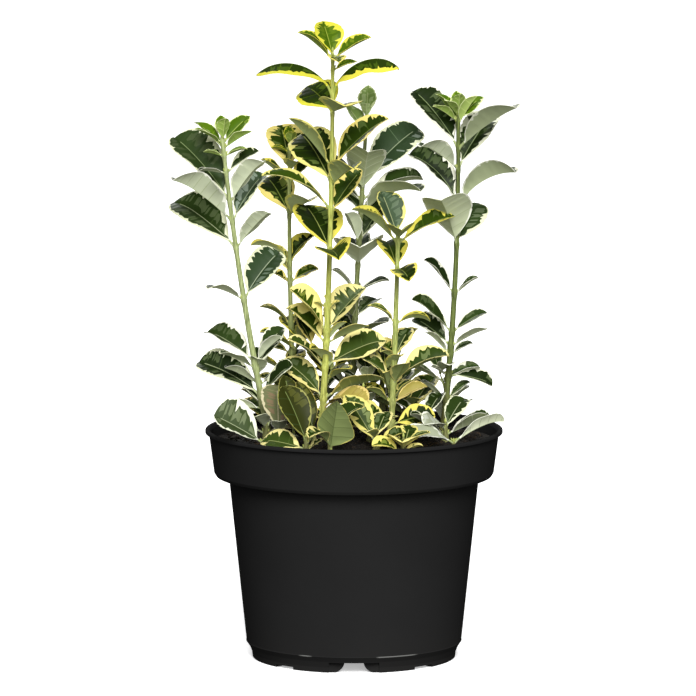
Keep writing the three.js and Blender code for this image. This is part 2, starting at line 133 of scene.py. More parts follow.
class Sheet:
    def __init__(self, tree):
        self.tree = tree

    def join(self, value, socket):
        if isinstance(value, Wire):
            self.tree.links.new(value.socket, socket)
        else:
            socket.default_value = value

    def node(self, kind, sockets=None, out=0, **settings):
        made = self.tree.nodes.new(kind)
        for name, value in settings.items():
            setattr(made, name, value)
        for key, value in (sockets or {}).items():
            self.join(value, made.inputs[key])
        return Wire(self, made.outputs[out]) if made.outputs else None

    def objectPlace(self, scale=(1, 1, 1)):
        place = self.node("ShaderNodeTexCoord", out="Object")
        return self.node("ShaderNodeMapping", {"Vector": place, "Scale": scale})

    def noise(self, place, scale, detail=3.0, roughness=0.5):
        return self.node("ShaderNodeTexNoise", {"Vector": place, "Scale": scale, "Detail": detail,
                                                "Roughness": roughness})

    def ramp(self, amount, stops):
        wire = self.node("ShaderNodeValToRGB", {"Fac": amount})
        elements = wire.socket.node.color_ramp.elements
        while len(elements) < len(stops):
            elements.new(0.5)
        for element, (place, colour) in zip(elements, stops):
            element.position, element.color = place, colour
        return wire

    def mask(self, amount, low, high, most=1):
        # black up to low, and from high on as white as most says
        return self.ramp(amount, [(low, (0, 0, 0, 1)), (high, (most, most, most, 1))])

    def fade(self, amount, low, high, first, last):
        # from the first value at low to the last at high
        return self.node("ShaderNodeMapRange", {0: amount, 1: low, 2: high, 3: first, 4: last})

    def blend(self, amount, first, second):
        return self.node("ShaderNodeMix", {0: amount, 6: first, 7: second}, 2, data_type="RGBA")

    def bump(self, height, depth, strength=1.0):
        return self.node("ShaderNodeBump", {"Height": height, "Distance": depth, "Strength": strength})

    def part(self, vector, axis):
        return self.node("ShaderNodeSeparateXYZ", {"Vector": vector}, axis)

    def vector(self, operation, first, second):
        # a vector sum, where scaling takes its number at the fourth socket
        return self.node("ShaderNodeVectorMath", {0: first, 3 if operation == "SCALE" else 1: second},
                         operation=operation)

    def attribute(self, name, kind="FLOAT"):
        return self.node("GeometryNodeInputNamedAttribute", {"Name": name}, data_type=kind)


def newFinish(name):
    material = bpy.data.materials.new(name)
    material.use_nodes = True
    return material, Sheet(material.node_tree)


def dress(material, sheet, values):
    # gives a material's shader its plain values and its patterns
    shader = material.node_tree.nodes["Principled BSDF"]
    for socket, value in values.items():
        sheet.join(value, shader.inputs[socket])
    return material


# The studio: a pale floor without an edge in view, a soft box in front and one behind, and a wide sun from
# the front
studioPlan = {
    "floorSize": 60000, "floorTone": "fbfbfb", "floorShade": 0.97, "floorCloud": 0.8, "floorGlow": 0.4,
    "worldTone": "ffffff", "worldStrength": 0.26,
    "sunStrength": 4.2, "sunSpread": 30, "sunFrom": (0.06, -1.0, 0.8), "sunTone": "ffffff",
    "boxes": [
        ("softBoxFront", (0.35, -2.6, 0.8), 0.9, 30.0),
        ("softBoxBack", (-0.6, 2.2, 1.5), 1.4, 26.0),
    ],
    "boxAim": (0, 0, 0.15),
}


def makeStudio(plan):
    world = bpy.context.scene.world = bpy.data.worlds.new("world")
    world.use_nodes = True
    sky = world.node_tree.nodes["Background"].inputs
    sky["Color"].default_value = tone(plan["worldTone"])
    sky["Strength"].default_value = plan["worldStrength"]
    half = plan["floorSize"] / 2
    corners = [(-half, -half, 0), (half, -half, 0), (half, half, 0), (-half, half, 0)]
    floor = newObject("floor", newMesh("floor", corners, [(0, 1, 2, 3)]))
    material, sheet = newFinish("paleFloor")
    cloud = sheet.noise(sheet.objectPlace(), plan["floorCloud"]) * 0.3
    pale, shade = tone(plan["floorTone"]), tone(plan["floorTone"], plan["floorShade"])
    floor.data.materials.append(dress(material, sheet, {
        "Base Color": sheet.blend(cloud, pale, shade),
        "Roughness": 0.85, "Specular IOR Level": 0.1,
        "Emission Color": (1, 1, 1, 1), "Emission Strength": plan["floorGlow"],
    }))
    floor.visible_diffuse = floor.visible_glossy = False  # a black card under the pot: no bounce from below
    for name, place, size, power in plan["boxes"]:
        light = newObject(name, bpy.data.lights.new(name, "AREA"))
        light.data.shape = "SQUARE"
        light.data.size = size
        light.data.energy = power
        pointAt(light, place, plan["boxAim"])
    sun = newObject("softSun", bpy.data.lights.new("softSun", "SUN"))
    sun.data.energy = plan["sunStrength"]
    sun.data.color = tone(plan["sunTone"])[:3]
    sun.data.angle = math.radians(plan["sunSpread"])
    pointAt(sun, plan["sunFrom"], (0, 0, 0))


makeStudio(studioPlan)
print("studio ready")


def onRoot(piece, replaced=()):
    if replaced:
        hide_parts(*replaced)
    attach(piece, "root")


def shadeSmooth(mesh, sharpFrom=None):
    mesh.polygons.foreach_set("use_smooth", np.ones(len(mesh.polygons), dtype=bool))
    if sharpFrom:
        mesh.set_sharp_from_angle(angle=math.radians(sharpFrom))


def evaluatedCopy(piece, name):
    # the plain mesh that a piece's modifiers give, in place of the piece
    made = bpy.data.meshes.new_from_object(piece.evaluated_get(bpy.context.evaluated_depsgraph_get()))
    copy = newObject(name, made)
    bpy.data.objects.remove(piece)
    return copy


def turnedMesh(name, outline, sides):
    # turns an outline of radii and heights, where a height may be a function of x and y
    points, rings, faces = [], [], []
    for radius, height in outline:
        if radius == 0:
            rings.append([len(points)] * sides)
            points.append((0, 0, height))
            continue
        rings.append(range(len(points), len(points) + sides))
        for k in range(sides):
            a = 2 * math.pi * k / sides
            x, y = radius * math.cos(a), radius * math.sin(a)
            points.append((x, y, height(x, y) if callable(height) else height))
    for low, high in zip(rings, rings[1:]):
        for k in range(sides):
            corner = [low[k], low[(k + 1) % sides], high[(k + 1) % sides], high[k]]
            faces.append(tuple(dict.fromkeys(corner)))
    return newMesh(name, points, faces)


# The pot, its lengths in millimetres and the turns of its gaps in degrees. The last lines have its tones,
# among them a painted highlight along the crease, and the scale, detail and roughness of the noises in its
# plastic.
potPlan = {
    "rimRadius": 95, "height": 147, "collarHeight": 29.5, "collarFootRadius": 89.4, "neckInset": 2.4,
    "bodyTopRadius": 80, "bodyFootRadius": 68.8, "creaseHeight": 10.6, "bead": 0.3,
    "footRadius": 65, "footRingWidth": 6, "wall": 1.6, "lip": 1.9, "floorUnderside": 7, "padRadius": 14,
    "deepGap": {"height": 6.8, "width": 32, "recess": 3.3, "top": 12, "foot": 24, "turns": (0, 180)},
    "shallowGap": {"height": 1.8, "width": 15, "turns": (43, 137, 223, 317)},
    "drain": {"count": 8, "length": 16, "width": 5, "radius": 48}, "cutInwards": 2, "cutOutwards": 6,
    "sides": 240, "arcSteps": 5, "sharpFrom": 35,
    "blacks": ("1c1c1c", "212121"), "dust": "3a3630", "dustHeight": 30,
    # the painted highlight on the crease: its tone, its half widths about the crease, how far from the front
    # it reaches, and its noise
    "wornTone": "6a6a68", "wornHalf": (0.2, 0.5), "wornReach": (36, 44), "wornNoise": (38, 1),
    "cloud": (18, 4), "streak": (260, 4, 0.65), "grain": (2600, 2), "drawnOut": 0.08, "grainDepth": 0.12,
    "roughness": 0.8, "sheen": 0.005,
}


def rounded(corners, steps):
    # an outline whose corners are (radius, height, fillet), with each fillet as an arc
    points = []
    for i, (x, y, fillet) in enumerate(corners):
        here = np.array([x, y], float)
        before = np.array(corners[i - 1][:2], float) - here
        after = np.array(corners[(i + 1) % len(corners)][:2], float) - here
        before, after = before / np.linalg.norm(before), after / np.linalg.norm(after)
        halfAngle = math.acos(max(-1, min(1, float(before @ after)))) / 2
        back = fillet / math.tan(halfAngle)
        middle = here + (before + after) / np.linalg.norm(before + after) * fillet / math.sin(halfAngle)
        first, last = here + before * back - middle, here + after * back - middle
        sweep = math.atan2(first[0] * last[1] - first[1] * last[0], float(first @ last))
        for k in range(steps + 1):
            a = sweep * k / steps
            points.append(middle + [first[0] * math.cos(a) - first[1] * math.sin(a),
                                    first[0] * math.sin(a) + first[1] * math.cos(a)])
    return points


def box(width, low, high):
    return [(-width / 2, low), (width / 2, low), (width / 2, high), (-width / 2, high)]


def cutterFrom(outline, near, far, turn):
    # an upright prism through the pot's foot, its outline seen from the front
    size = len(outline)
    points = [(x, -reach, z) for reach in (near, far) for x, z in outline]
    a = math.radians(turn)
    points = [(x * math.cos(a) - y * math.sin(a), x * math.sin(a) + y * math.cos(a), z) for x, y, z in points]
    faces = [tuple(range(size))[::-1], tuple(range(size, 2 * size))]
    faces += [(k, (k + 1) % size, size + (k + 1) % size, size + k) for k in range(size)]
    mesh = newMesh("cutter", points, faces)
    work = bmesh.new()
    work.from_mesh(mesh)
    bmesh.ops.recalc_face_normals(work, faces=work.faces)
    work.to_mesh(mesh)
    work.free()
    return mesh


def potCutters(plan, ring, floorTop):
    # the deep gaps of the foot ring with their recesses, the shallow ones and the drain slots
    deep, shallow, drain = plan["deepGap"], plan["shallowGap"], plan["drain"]
    half, foot = deep["top"] / 2, deep["foot"] / 2
    bend = [(half + (foot - half) * (1 - math.sin(a)), deep["height"] * (1 - math.cos(a)) ** 0.8)
            for a in np.linspace(0.12, math.pi / 2, 8)]
    wayThrough = [(-foot, -1), (foot, -1)] + bend + [(-x, z) for x, z in reversed(bend)]
    far, near = plan["footRadius"] + plan["cutOutwards"], ring - plan["cutInwards"]
    cutters = []
    for turn in deep["turns"]:
        recess = box(deep["width"], -1, deep["height"])
        cutters.append(cutterFrom(recess, plan["footRadius"] - deep["recess"], far, turn))
        cutters.append(cutterFrom(wayThrough, near, far, turn))
    for turn in shallow["turns"]:
        cutters.append(cutterFrom(box(shallow["width"], -1, shallow["height"]), near, far, turn))
    slot, reach = box(drain["width"], plan["floorUnderside"] - 1, floorTop + 1), drain["length"] / 2
    for i in range(drain["count"]):
        turn = (i + 0.5) * 360 / drain["count"]
        cutters.append(cutterFrom(slot, drain["radius"] - reach, drain["radius"] + reach, turn))
    return cutters


def potFinish(plan):
    # black moulded plastic: a soft sheen, a faint grain, dust near the foot and a painted highlight, a broken
    # line on the crease at the front
    material, sheet = newFinish("blackPlastic")
    place, drawn = sheet.objectPlace(), sheet.objectPlace((1, 1, plan["drawnOut"]))
    cloud = sheet.noise(place, *plan["cloud"])
    streak = sheet.noise(drawn, *plan["streak"])
    grain = sheet.noise(place, *plan["grain"])
    height = sheet.part(place, "Z")
    dust = sheet.fade(height, 0.0, plan["dustHeight"] * mm, 0.1, 0.0) * cloud
    black = sheet.blend(cloud, tone(plan["blacks"][0]), tone(plan["blacks"][1]))
    black = sheet.blend(dust, black, tone(plan["dust"]))
    # painted highlight: a pale line along the crease, broken by noise and kept to the front of the pot
    near, far = plan["wornHalf"]
    line = sheet.fade(abs(height - plan["creaseHeight"] * mm), near * mm, far * mm, 1.0, 0.0)
    near, far = plan["wornReach"]
    front = sheet.fade(abs(sheet.part(place, "X")), near * mm, far * mm, 1.0, 0.0)
    broken = sheet.mask(sheet.noise(drawn, *plan["wornNoise"]), 0.48, 0.55)
    return dress(material, sheet, {
        "Base Color": sheet.blend(line * broken * front, black, tone(plan["wornTone"])),
        "Roughness": plan["roughness"] + 0.08 * cloud + 0.06 * streak,
        "Specular IOR Level": plan["sheen"],
        "Normal": sheet.bump(grain * 0.6 + streak * 0.4, plan["grainDepth"] * mm, 0.5),
    })


def makePot(plan):
    wall, lip, top, crease = plan["wall"], plan["lip"], plan["height"], plan["creaseHeight"]
    rim, collar, bodyTop = plan["rimRadius"], plan["collarFootRadius"], plan["bodyTopRadius"]
    bodyFoot, foot, pad = plan["bodyFootRadius"], plan["footRadius"], plan["padRadius"]
    under, collarFoot, ring = plan["floorUnderside"], top - plan["collarHeight"], foot - plan["footRingWidth"]
    floorTop = under + wall
    # from the pad under the floor outwards, up the outside, over the rim and down the inside
    corners = [
        (pad, 0, 0.4), (pad, under, 0.5), (ring, under, 0.5), (ring, 0, 0.4),
        (foot, 0, 0.5), (foot + 0.3, 3.4, 2), (foot + 1.8, 7.2, 3), (bodyFoot - 0.1, crease - 0.5, 0.1),
        (bodyFoot + plan["bead"], crease, 0.12), (bodyFoot + 0.1, crease + 0.5, 0.1),
        (bodyTop, collarFoot - 0.5, 0.3), (bodyTop + 0.8, collarFoot, 0.2),
        (collar - 1.2, collarFoot, 0.2), (collar, collarFoot + 2, 1.6),
        (rim - plan["neckInset"], top - lip - 1.2, 0.5), (rim, top - lip - 0.2, 0.35), (rim, top, 0.8),
        (rim - lip * 1.4, top, 0.5), (rim - 2 * lip, top - lip, 0.5),
        (collar - wall, collarFoot + 2.4 + wall, 1.2), (bodyTop - wall + 0.8, collarFoot + wall, 0.6),
        (bodyTop - wall, collarFoot - 0.5, 0.5), (bodyFoot - wall, crease + 0.6, 1.2),
        (bodyFoot - wall - 1.6, floorTop, 0.8),
    ]
    outline = [(0.0, 0.0)] + rounded(corners, plan["arcSteps"]) + [(0.0, floorTop)]
    uncut = newObject("uncutPot", turnedMesh("pot", outline, plan["sides"]))
    gathered = bpy.data.collections.new("cutters")
    for k, cutter in enumerate(potCutters(plan, ring, floorTop)):
        gathered.objects.link(bpy.data.objects.new(f"cutter{k}", cutter))
    cut = uncut.modifiers.new("gaps", "BOOLEAN")
    cut.operation, cut.solver = "DIFFERENCE", "EXACT"
    cut.operand_type, cut.collection = "COLLECTION", gathered
    pot = evaluatedCopy(uncut, "nurseryPot")
    for old in list(gathered.objects):
        bpy.data.objects.remove(old)
    bpy.data.collections.remove(gathered)
    pot.data.materials.clear()
    pot.data.materials.append(potFinish(plan))
    shadeSmooth(pot.data, plan["sharpFrom"])
    onRoot(pot, ("pot",))


makePot(potPlan)
print("pot ready")


# The compost: a low dome inside the pot, with relief on its top. What is scattered on it is a piece each:
# how many to a square millimetre, the least and the most of its half sizes, how far it tilts, how finely it
# is rounded, and its tones.
compostPlan = {
    "edge": 139, "rise": 11, "radius": 90, "mound": {"x": 24, "y": 28, "spread": 17, "rise": 8},
    "clearance": 0.4, "rings": 84, "sides": 240, "relief": 1.5, "reliefFade": 6, "patchStep": 2.5,
    "firstSeed": 11,
    "tones": [(0.3, "080705"), (0.52, "110e0b"), (0.72, "211b14")], "fleckTone": "3e3122",
    "lump": (170, 6, 0.65), "fleck": (720, 3, 0.6), "lumpDepth": 1.2,
    "crumbPatch": (300, 4, 0.6), "crumbGrain": (1500, 3), "crumbDepth": 0.4, "crumbReach": 88.0,
    "scattered": [
        ("compostCrumbs", 0.10, (0.35, 0.35, 0.3), (1.5, 1.3, 1.0), 3.1, 1, "0c0a07", "201a13"),
        ("barkChips", 0.012, (0.8, 0.5, 0.25), (4.2, 1.7, 0.8), 0.5, 2, "15100b", "37291a"),
        ("compostFibres", 0.006, (2.5, 0.12, 0.12), (6.5, 0.3, 0.25), 0.45, 1, "30251a", "6a5236"),
    ],
}


def compostTop(x, y):
    plan = compostPlan
    share = min(1.0, math.hypot(x, y) / plan["radius"])
    mound = plan["mound"]
    apart = math.hypot(x - mound["x"], y - mound["y"]) / mound["spread"]
    return plan["edge"] + plan["rise"] * (1 - share * share) ** 1.5 + mound["rise"] * math.exp(-apart * apart)


def roughTop(x, y):
    # lumps and hollows about the smooth dome, fading out at the wall
    plan = compostPlan
    fade = min(1.0, max(0.0, (plan["radius"] - math.hypot(x, y)) / plan["reliefFade"]))
    lumps = noise.fractal(Vector((x, y, 0)) * 0.16, 0.9, 2.1, 5)
    return compostTop(x, y) + plan["relief"] * fade * (lumps - 0.35)


def compostFinish(plan):
    material, sheet = newFinish("pottingCompost")
    place = sheet.objectPlace()
    lump, fleck = sheet.noise(place, *plan["lump"]), sheet.noise(place, *plan["fleck"])
    brown = sheet.ramp(lump, [(share, tone(code)) for share, code in plan["tones"]])
    return dress(material, sheet, {
        "Base Color": sheet.blend(sheet.mask(fleck, 0.62, 0.74, 0.6), brown, tone(plan["fleckTone"])),
        "Roughness": 0.85 + 0.12 * lump,
        "Specular IOR Level": 0.2,
        "Normal": sheet.bump(lump * 0.6 + fleck * 0.4, plan["lumpDepth"] * mm),
    })


def crumbFinish(plan, name, dark, light):
    material, sheet = newFinish(name)
    place = sheet.objectPlace()
    patch, fine = sheet.noise(place, *plan["crumbPatch"]), sheet.noise(place, *plan["crumbGrain"])
    return dress(material, sheet, {
        "Base Color": sheet.ramp(patch, [(0.35, tone(dark)), (0.65, tone(light))]),
        "Roughness": 0.8 + 0.15 * fine,
        "Specular IOR Level": 0.25,
        "Normal": sheet.bump(fine, plan["crumbDepth"] * mm),
    })


def grow(piece, tree, inputs, name):
    # runs a geometry tree on a piece, its inputs set by identifier, and keeps the plain result
    modifier = piece.modifiers.new(name, "NODES")
    modifier.node_group = tree
    for item in tree.interface.items_tree:
        if item.item_type == "SOCKET" and item.in_out == "INPUT" and item.name in inputs:
            modifier[item.identifier] = inputs[item.name]
    return evaluatedCopy(piece, name)


def newTree(name, sockets):
    tree = bpy.data.node_groups.new(name, "GeometryNodeTree")
    tree.interface.new_socket("Geometry", in_out="INPUT", socket_type="NodeSocketGeometry")
    for socket, kind in sockets.items():
        tree.interface.new_socket(socket, in_out="INPUT", socket_type="NodeSocket" + kind)
    tree.interface.new_socket("Geometry", in_out="OUTPUT", socket_type="NodeSocketGeometry")
    sheet = Sheet(tree)
    given = sheet.node("NodeGroupInput").socket.node.outputs
    return sheet, {socket.name: Wire(sheet, socket) for socket in given if socket.name}


def endTree(sheet, shape, material):
    solid = sheet.node("GeometryNodeRealizeInstances", {"Geometry": shape})
    painted = sheet.node("GeometryNodeSetMaterial", {"Geometry": solid, "Material": material})
    sheet.node("NodeGroupOutput", {"Geometry": painted})
    return sheet.tree


def scatterTree():
    # lumps scattered over a surface: one rough stone shape, stretched and turned at random
    sheet, given = newTree("scatter", {
        "Density": "Float", "Least": "Vector", "Most": "Vector", "Tilt": "Float", "Rounds": "Int",
        "Seed": "Int", "Finish": "Material"})
    spots = sheet.node("GeometryNodeDistributePointsOnFaces", {
        "Mesh": given["Geometry"], "Density": given["Density"], "Seed": given["Seed"]},
        distribute_method="RANDOM")
    stone = sheet.node("GeometryNodeMeshIcoSphere", {"Radius": 1.0, "Subdivisions": given["Rounds"]})
    place = sheet.node("GeometryNodeInputPosition")
    dent = sheet.node("ShaderNodeTexNoise", {"Vector": place, "Scale": 1.3, "Detail": 1.0})
    push = sheet.vector("SCALE", place, dent * 1.2 - 0.55)
    rough = sheet.node("GeometryNodeSetPosition", {"Geometry": stone, "Offset": push})
    lean = sheet.node("ShaderNodeCombineXYZ", {0: given["Tilt"], 1: given["Tilt"], 2: math.pi})

    def drawn(least, most, seed):
        return sheet.node("FunctionNodeRandomValue", {0: least, 1: most, "Seed": seed},
                          data_type="FLOAT_VECTOR")

    size = drawn(given["Least"], given["Most"], given["Seed"])
    turn = drawn(sheet.vector("SCALE", lean, -1.0), lean, given["Seed"] + 7)
    spread = sheet.node("GeometryNodeInstanceOnPoints", {"Points": spots, "Instance": rough, "Scale": size,
                                                         "Rotation": turn})
    return endTree(sheet, spread, given["Finish"])


def topPatch(plan):
    # the compost's top out to a radius, as a surface to scatter on
    reach, step = plan["crumbReach"], plan["patchStep"]
    count = int(reach // step)
    points, index = [], {}
    for i in range(-count, count + 1):
        for j in range(-count, count + 1):
            x, y = i * step, j * step
            if math.hypot(x, y) <= reach:
                index[i, j] = len(points)
                points.append((x, y, roughTop(x, y)))
    faces = [(index[i, j], index[i + 1, j], index[i + 1, j + 1], index[i, j + 1]) for i, j in index
             if all(k in index for k in ((i + 1, j), (i + 1, j + 1), (i, j + 1)))]
    return newMesh("topPatch", points, faces)


def makeCompost(plan, pot):
    clear = pot["wall"] + plan["clearance"]
    foot, neck, collar = [pot[k] - clear for k in ("bodyFootRadius", "bodyTopRadius", "collarFootRadius")]
    collarFoot, floorTop = pot["height"] - pot["collarHeight"], pot["floorUnderside"] + pot["wall"]
    outline = [
        (0, floorTop + 0.3), (foot - 1.8, floorTop + 0.3), (foot, pot["creaseHeight"] + 1.2),
        (neck, collarFoot), (neck + 0.2, collarFoot + pot["wall"] + 0.7),
        (collar - 1, collarFoot + 3 + pot["wall"]),
    ]
    outline += [(plan["radius"] * (1 - i / plan["rings"]), roughTop) for i in range(plan["rings"])]
    outline.append((0, compostTop(0, 0)))
    mesh = turnedMesh("compost", outline, plan["sides"])
    mesh.materials.append(compostFinish(plan))
    shadeSmooth(mesh)
    onRoot(newObject("compostBody", mesh), ("compost",))
    tree = scatterTree()
    for number, (name, density, least, most, tilt, rounds, dark, light) in enumerate(plan["scattered"]):
        piece = grow(newObject("carrier", topPatch(plan)), tree, {
            "Density": density / mm ** 2, "Least": [v * mm for v in least], "Most": [v * mm for v in most],
            "Tilt": tilt, "Rounds": rounds, "Seed": plan["firstSeed"] + number,
            "Finish": crumbFinish(plan, name, dark, light),
        }, name)
        onRoot(piece)


makeCompost(compostPlan, potPlan)
print("compost ready")


# The plant. Each shoot runs from its foot to its tip with a sideways bow at its middle. A row of a leaf
# mass is one pair of leaves: height above the floor, turn about the stem, bend from stalk to tip, then
# length, rise and roll of the leaf on that side and of the one opposite, with its breadth as a share of its
# length where that stands out. Lengths in millimetres, angles in degrees.
shoots = {
    "left": {
        "kind": "silver", "foot": (-54.5, -3), "tip": (-84, -3), "top": 338, "bow": (-2.5, 0),
        "radius": (2.1, 1.1),
        "masses": {
            "low": [
                (163, -30, 15, (14, 50, 0), (17, 44, 5)), (168, -25, 20, (30, 55, 35), (48, 33, 30)),
                (186, 32, 15, (32, 58, 15), (28, 31, -8)), (190, -28, 15, (26, 50, -8), (39, 34, 14)),
            ],
            "middle": [(230, 30, 20, (38, 56, 16), (28, 30, -12))],
            "top": [
                (263, -30, 15, (34, 52, -14), (54, 38, 22)), (280, 32, 15, (38, 58, 20), (52, 42, -12)),
                (292, -34, 15, (38, 56, -10), (58, 50, 24)), (311, 25, 15, (26, 36, 14), (19, 14, 0)),
                (322, 0, 20, (15, 28, 5), (13, 20, 0)), (327, -20, 12, (22, 36, -5), (25, 46, 10)),
                (330, 22, 12, (25, 48, 28), (21, 34, 8)), (332, -75, 8, (17, 66, 0), (17, 70, 0)),
            ],
        },
    },
    "second": {
        "kind": "gold", "foot": (-38, 34), "tip": (-41, 31), "top": 330, "bow": (-1.5, 0), "radius": (1.9, 1),
        "masses": {
            "low": [
                (163, 10, 20, (22, 40, 10), (26, 40, 10)), (176, 80, 20, (24, 50, 0), (24, 40, 0)),
                (191, -10, 25, (22, 52, 10), (20, 20, 20)), (209, 0, 46, (18, 60, 10), (24, 52, 0)),
            ],
            "middle": [
                (237, 5, 15, (20, 34, 24), (13, 36, 10)), (243, 155, 12, (21, 62, 24)),
                (249, 12, 40, (24, 66, 24), (29, 46, -6)),
            ],
            "top": [
                (280, -58, 20, (28, 34, -6, 0.74), (38, 46, 14, 0.6)),
                (301, 10, 12, (22, 46, 26), (24, 46, 10)),
                (309, 106, 15, (34, 62, 0, 0.64), (20, 28, 0, 0.72)), (321, 8, 20, (14, 4, 10), (12, 24, 8)),
                (325, 102, 8, (14, 66, 0), (13, 54, 0)),
            ],
        },
    },
    "centre": {
        "kind": "gold", "foot": (-20.5, -12), "tip": (-13.5, -8), "top": 390, "bow": (1.8, 0),
        "radius": (2.2, 1),
        "masses": {
            "low": [
                (155, 10, 15, (12, 34, 10), (12, 20, 10)), (168, -15, 22, (42, 28, -14), (38, 46, 38)),
                (188, 5, 20, (42, 32, 34), (30, 48, 8)), (203, -15, 15, (30, 30, -16), (34, 48, 18)),
                (211, 20, 15, (37, 53, 20), (37, 54, 30)),
            ],
            "middle": [
                (262, 100, 22, (41, 50, 0, 0.66), (30, 6, 16, 0.84)), (286, 12, 15, (34, 60, 32)),
                (288, 186, 50, (52, 50, 6, 0.36)),
            ],
            "upper": [
                (304, -60, 20, (34, 34, -6, 0.64), (50, 47, 24)), (315, 8, 15, (48, 48, 18), (42, 56, 0)),
            ],
            "top": [
                (350, -55, 25, (30, 20, -10, 0.66), (32, 38, 10, 0.66)),
                (361, 0, 62, (50, 44, 6), (52, 38, 2)), (377, 20, 15, (17, 24, 12)),
                (384, 0, 14, (28, 36, 8), (28, 46, 0)), (385, 100, 15, (28, 64, 0), (16, 14, 0)),
            ],
        },
    },
    "back": {
        "kind": "silver", "foot": (-2.5, 22), "tip": (8.5, 21), "top": 350, "bow": (-0.5, 0),
        "radius": (2, 1),
        "masses": {
            "low": [
                (168, -20, 20, (28, 34, 0), (28, 38, 10)), (184, 60, 20, (28, 44, 10), (24, 34, 0)),
                (201, -35, 20, (30, 36, 10), (24, 54, 14)), (215, 55, 20, (28, 30, 12), (24, 46, 0)),
            ],
            "middle": [
                (232, 0, 20, (22, 30, 5), (21, 54, 5)), (249, -88, 20, (34, 34, 0, 0.7), (32, 36, 0)),
                (264, 38, 15, (36, 52, 16), (22, 72, -14)),
            ],
            "top": [
                (282, -30, 46, (50, 42, -12), (26, 60, 10)), (291, 8, 20, (42, 28, 5), (20, 36, 5)),
                (296, -78, 15, (38, 58, 0, 0.68), (26, 34, 0)), (301, 30, 15, (54, 47, 22), (28, 44, 10)),
                (334, -35, 10, (18, 42, 0), (24, 52, 16)), (344, 84, 10, (22, 72, 0), (12, 60, 0)),
            ],
        },
    },
    "front": {
        "kind": "gold", "foot": (23.5, -20), "tip": (28, -9), "top": 277, "bow": (0.5, 0), "radius": (2, 1.3),
        "masses": {
            "low": [
                (152, 12, 15, (28, 25, 24), (25, 38, 28)), (166, 5, 14, (20, 50, 30), (19, 38, 5)),
                (178, -62, 15, (24, 48, 0), (22, 44, 0)), (181, 3, 14, (38, 30, 18), (26, 40, 14)),
                (194, 50, 15, (24, 56, 10), (14, 34, 0)),
            ],
            "middle": [(216, 0, 62, (23, 32, 6), (22, 60, 2))],
            "top": [
                (250, -72, 30, (27, 6, 12), (30, 44, 0)), (267, 6, 20, (40, 34, 16), (37, 48, 6)),
                (270, -82, 12, (24, 26, 0, 0.8), (34, 62, 0, 0.6)),
            ],
        },
    },
    "right": {
        "kind": "silver", "foot": (57, 14), "tip": (66, 10), "top": 352, "bow": (3.4, 0),
        "radius": (2.1, 1.1),
        "masses": {
            "low": [
                (163, 12, 15, (19, 46, 20), (20, 46, 8)), (179, 10, 20, (29, -5, 28), (12, 40, 10)),
                (193, 20, 15, (16, 30, 8), (22, 50, -8)), (198, -25, 15, (27, 34, -8), (31, 40, 24)),
                (207, 15, 15, (26, 36, 16), (34, 48, 14)),
            ],
            "middle": [(232, 0, 12, (18, 42, 4), (29, 56, 0))],
            "top": [
                (264, 66, 20, (36, 50, 8), (44, 43, -10, 0.66)), (289, -25, 48, (49, 50, -14), (48, 62, 20)),
                (312, 44, 15, (46, 54, 14), (38, 36, -6)), (325, -30, 15, (52, 40, -10), (48, 56, 18)),
                (341, -15, 10, (22, 62, -4), (24, 60, 10)), (343, 25, 14, (23, 48, 26), (20, 38, -6)),
                (346, -80, 8, (17, 68, 0), (17, 74, 0)),
            ],
        },
    },
}

# Low tufts: short side shoots that leave the compost near the tall ones, their heights above it
tufts = {
    "left": {"kind": "silver", "foot": (-56, -24), "pairs": [
        (4, -12, 15, (18, 20, 10), (38, 28, 30)), (8, 75, 12, (42, 30, 10), (24, 30, 0)),
    ]},
    "front_left": {"kind": "gold", "foot": (-30, -73), "pairs": [
        (4, 0, 12, (12, 40, 20), (32, 12, 26)), (8, -35, 12, (14, 50, 0), (40, 66, 28)),
    ]},
    "front": {"kind": "gold", "foot": (-15, -78), "pairs": [
        (3, -34, 6, (39, 68, -38, 0.64), (28, 50, 10)), (9, 22, 60, (34, 62, 10), (24, 44, 10)),
    ]},
    "front_middle": {"kind": "gold", "foot": (14, -64), "pairs": [
        (4, -14, 6, (20, 18, 0), (38, 54, -4)), (8, 70, 15, (24, 44, 0), (18, 26, 0)),
    ]},
    "front_right": {"kind": "gold", "foot": (31, -72), "pairs": [
        (4, -95, 15, (20, 44, 0, 0.8), (22, 44, 0)), (8, -10, 15, (18, 30, 10), (18, 42, 10)),
    ]},
    "right": {"kind": "silver", "foot": (58, -26), "pairs": [
        (4, -20, 12, (38, 34, -6), (26, 36, 10)), (8, -122, 15, (32, 22, 0), (28, 44, 10)),
    ]},
    "middle_right": {"kind": "gold", "foot": (34, 12), "pairs": [
        (4, 18, 12, (36, 46, 15), (26, 34, 0)), (8, 110, 12, (26, 45, 0), (24, 30, 0)),
    ]},
    "middle": {"kind": "gold", "foot": (-37, 8), "pairs": [
        (4, -20, 15, (24, 50, 10), (28, 44, 20)), (9, 70, 15, (28, 52, 0), (26, 44, 0)),
        (16, -15, 15, (22, 56, 10), (24, 60, 20)),
    ]},
    "inner": {"kind": "silver", "foot": (8, 0), "pairs": [
        (4, 20, 15, (26, 40, 10), (26, 36, 10)), (10, 105, 15, (28, 50, 0), (24, 40, 0)),
        (20, 10, 15, (24, 52, 20), (24, 48, 10)), (26, 95, 15, (20, 60, 0), (18, 50, 0)),
    ]},
    "back_left": {"kind": "silver", "foot": (-20, 58), "pairs": [
        (4, 20, 15, (30, 38, 0), (30, 34, 0)), (10, 108, 15, (30, 30, 0), (24, 44, 0)),
        (18, 25, 15, (26, 50, 0), (28, 46, 0)),
    ]},
    "back_right": {"kind": "gold", "foot": (27, 56), "pairs": [
        (4, -15, 15, (30, 34, 0), (30, 40, 0)), (10, 80, 15, (28, 30, 0), (24, 42, 0)),
        (18, -20, 15, (26, 48, 0), (26, 50, 0)),
    ]},
}

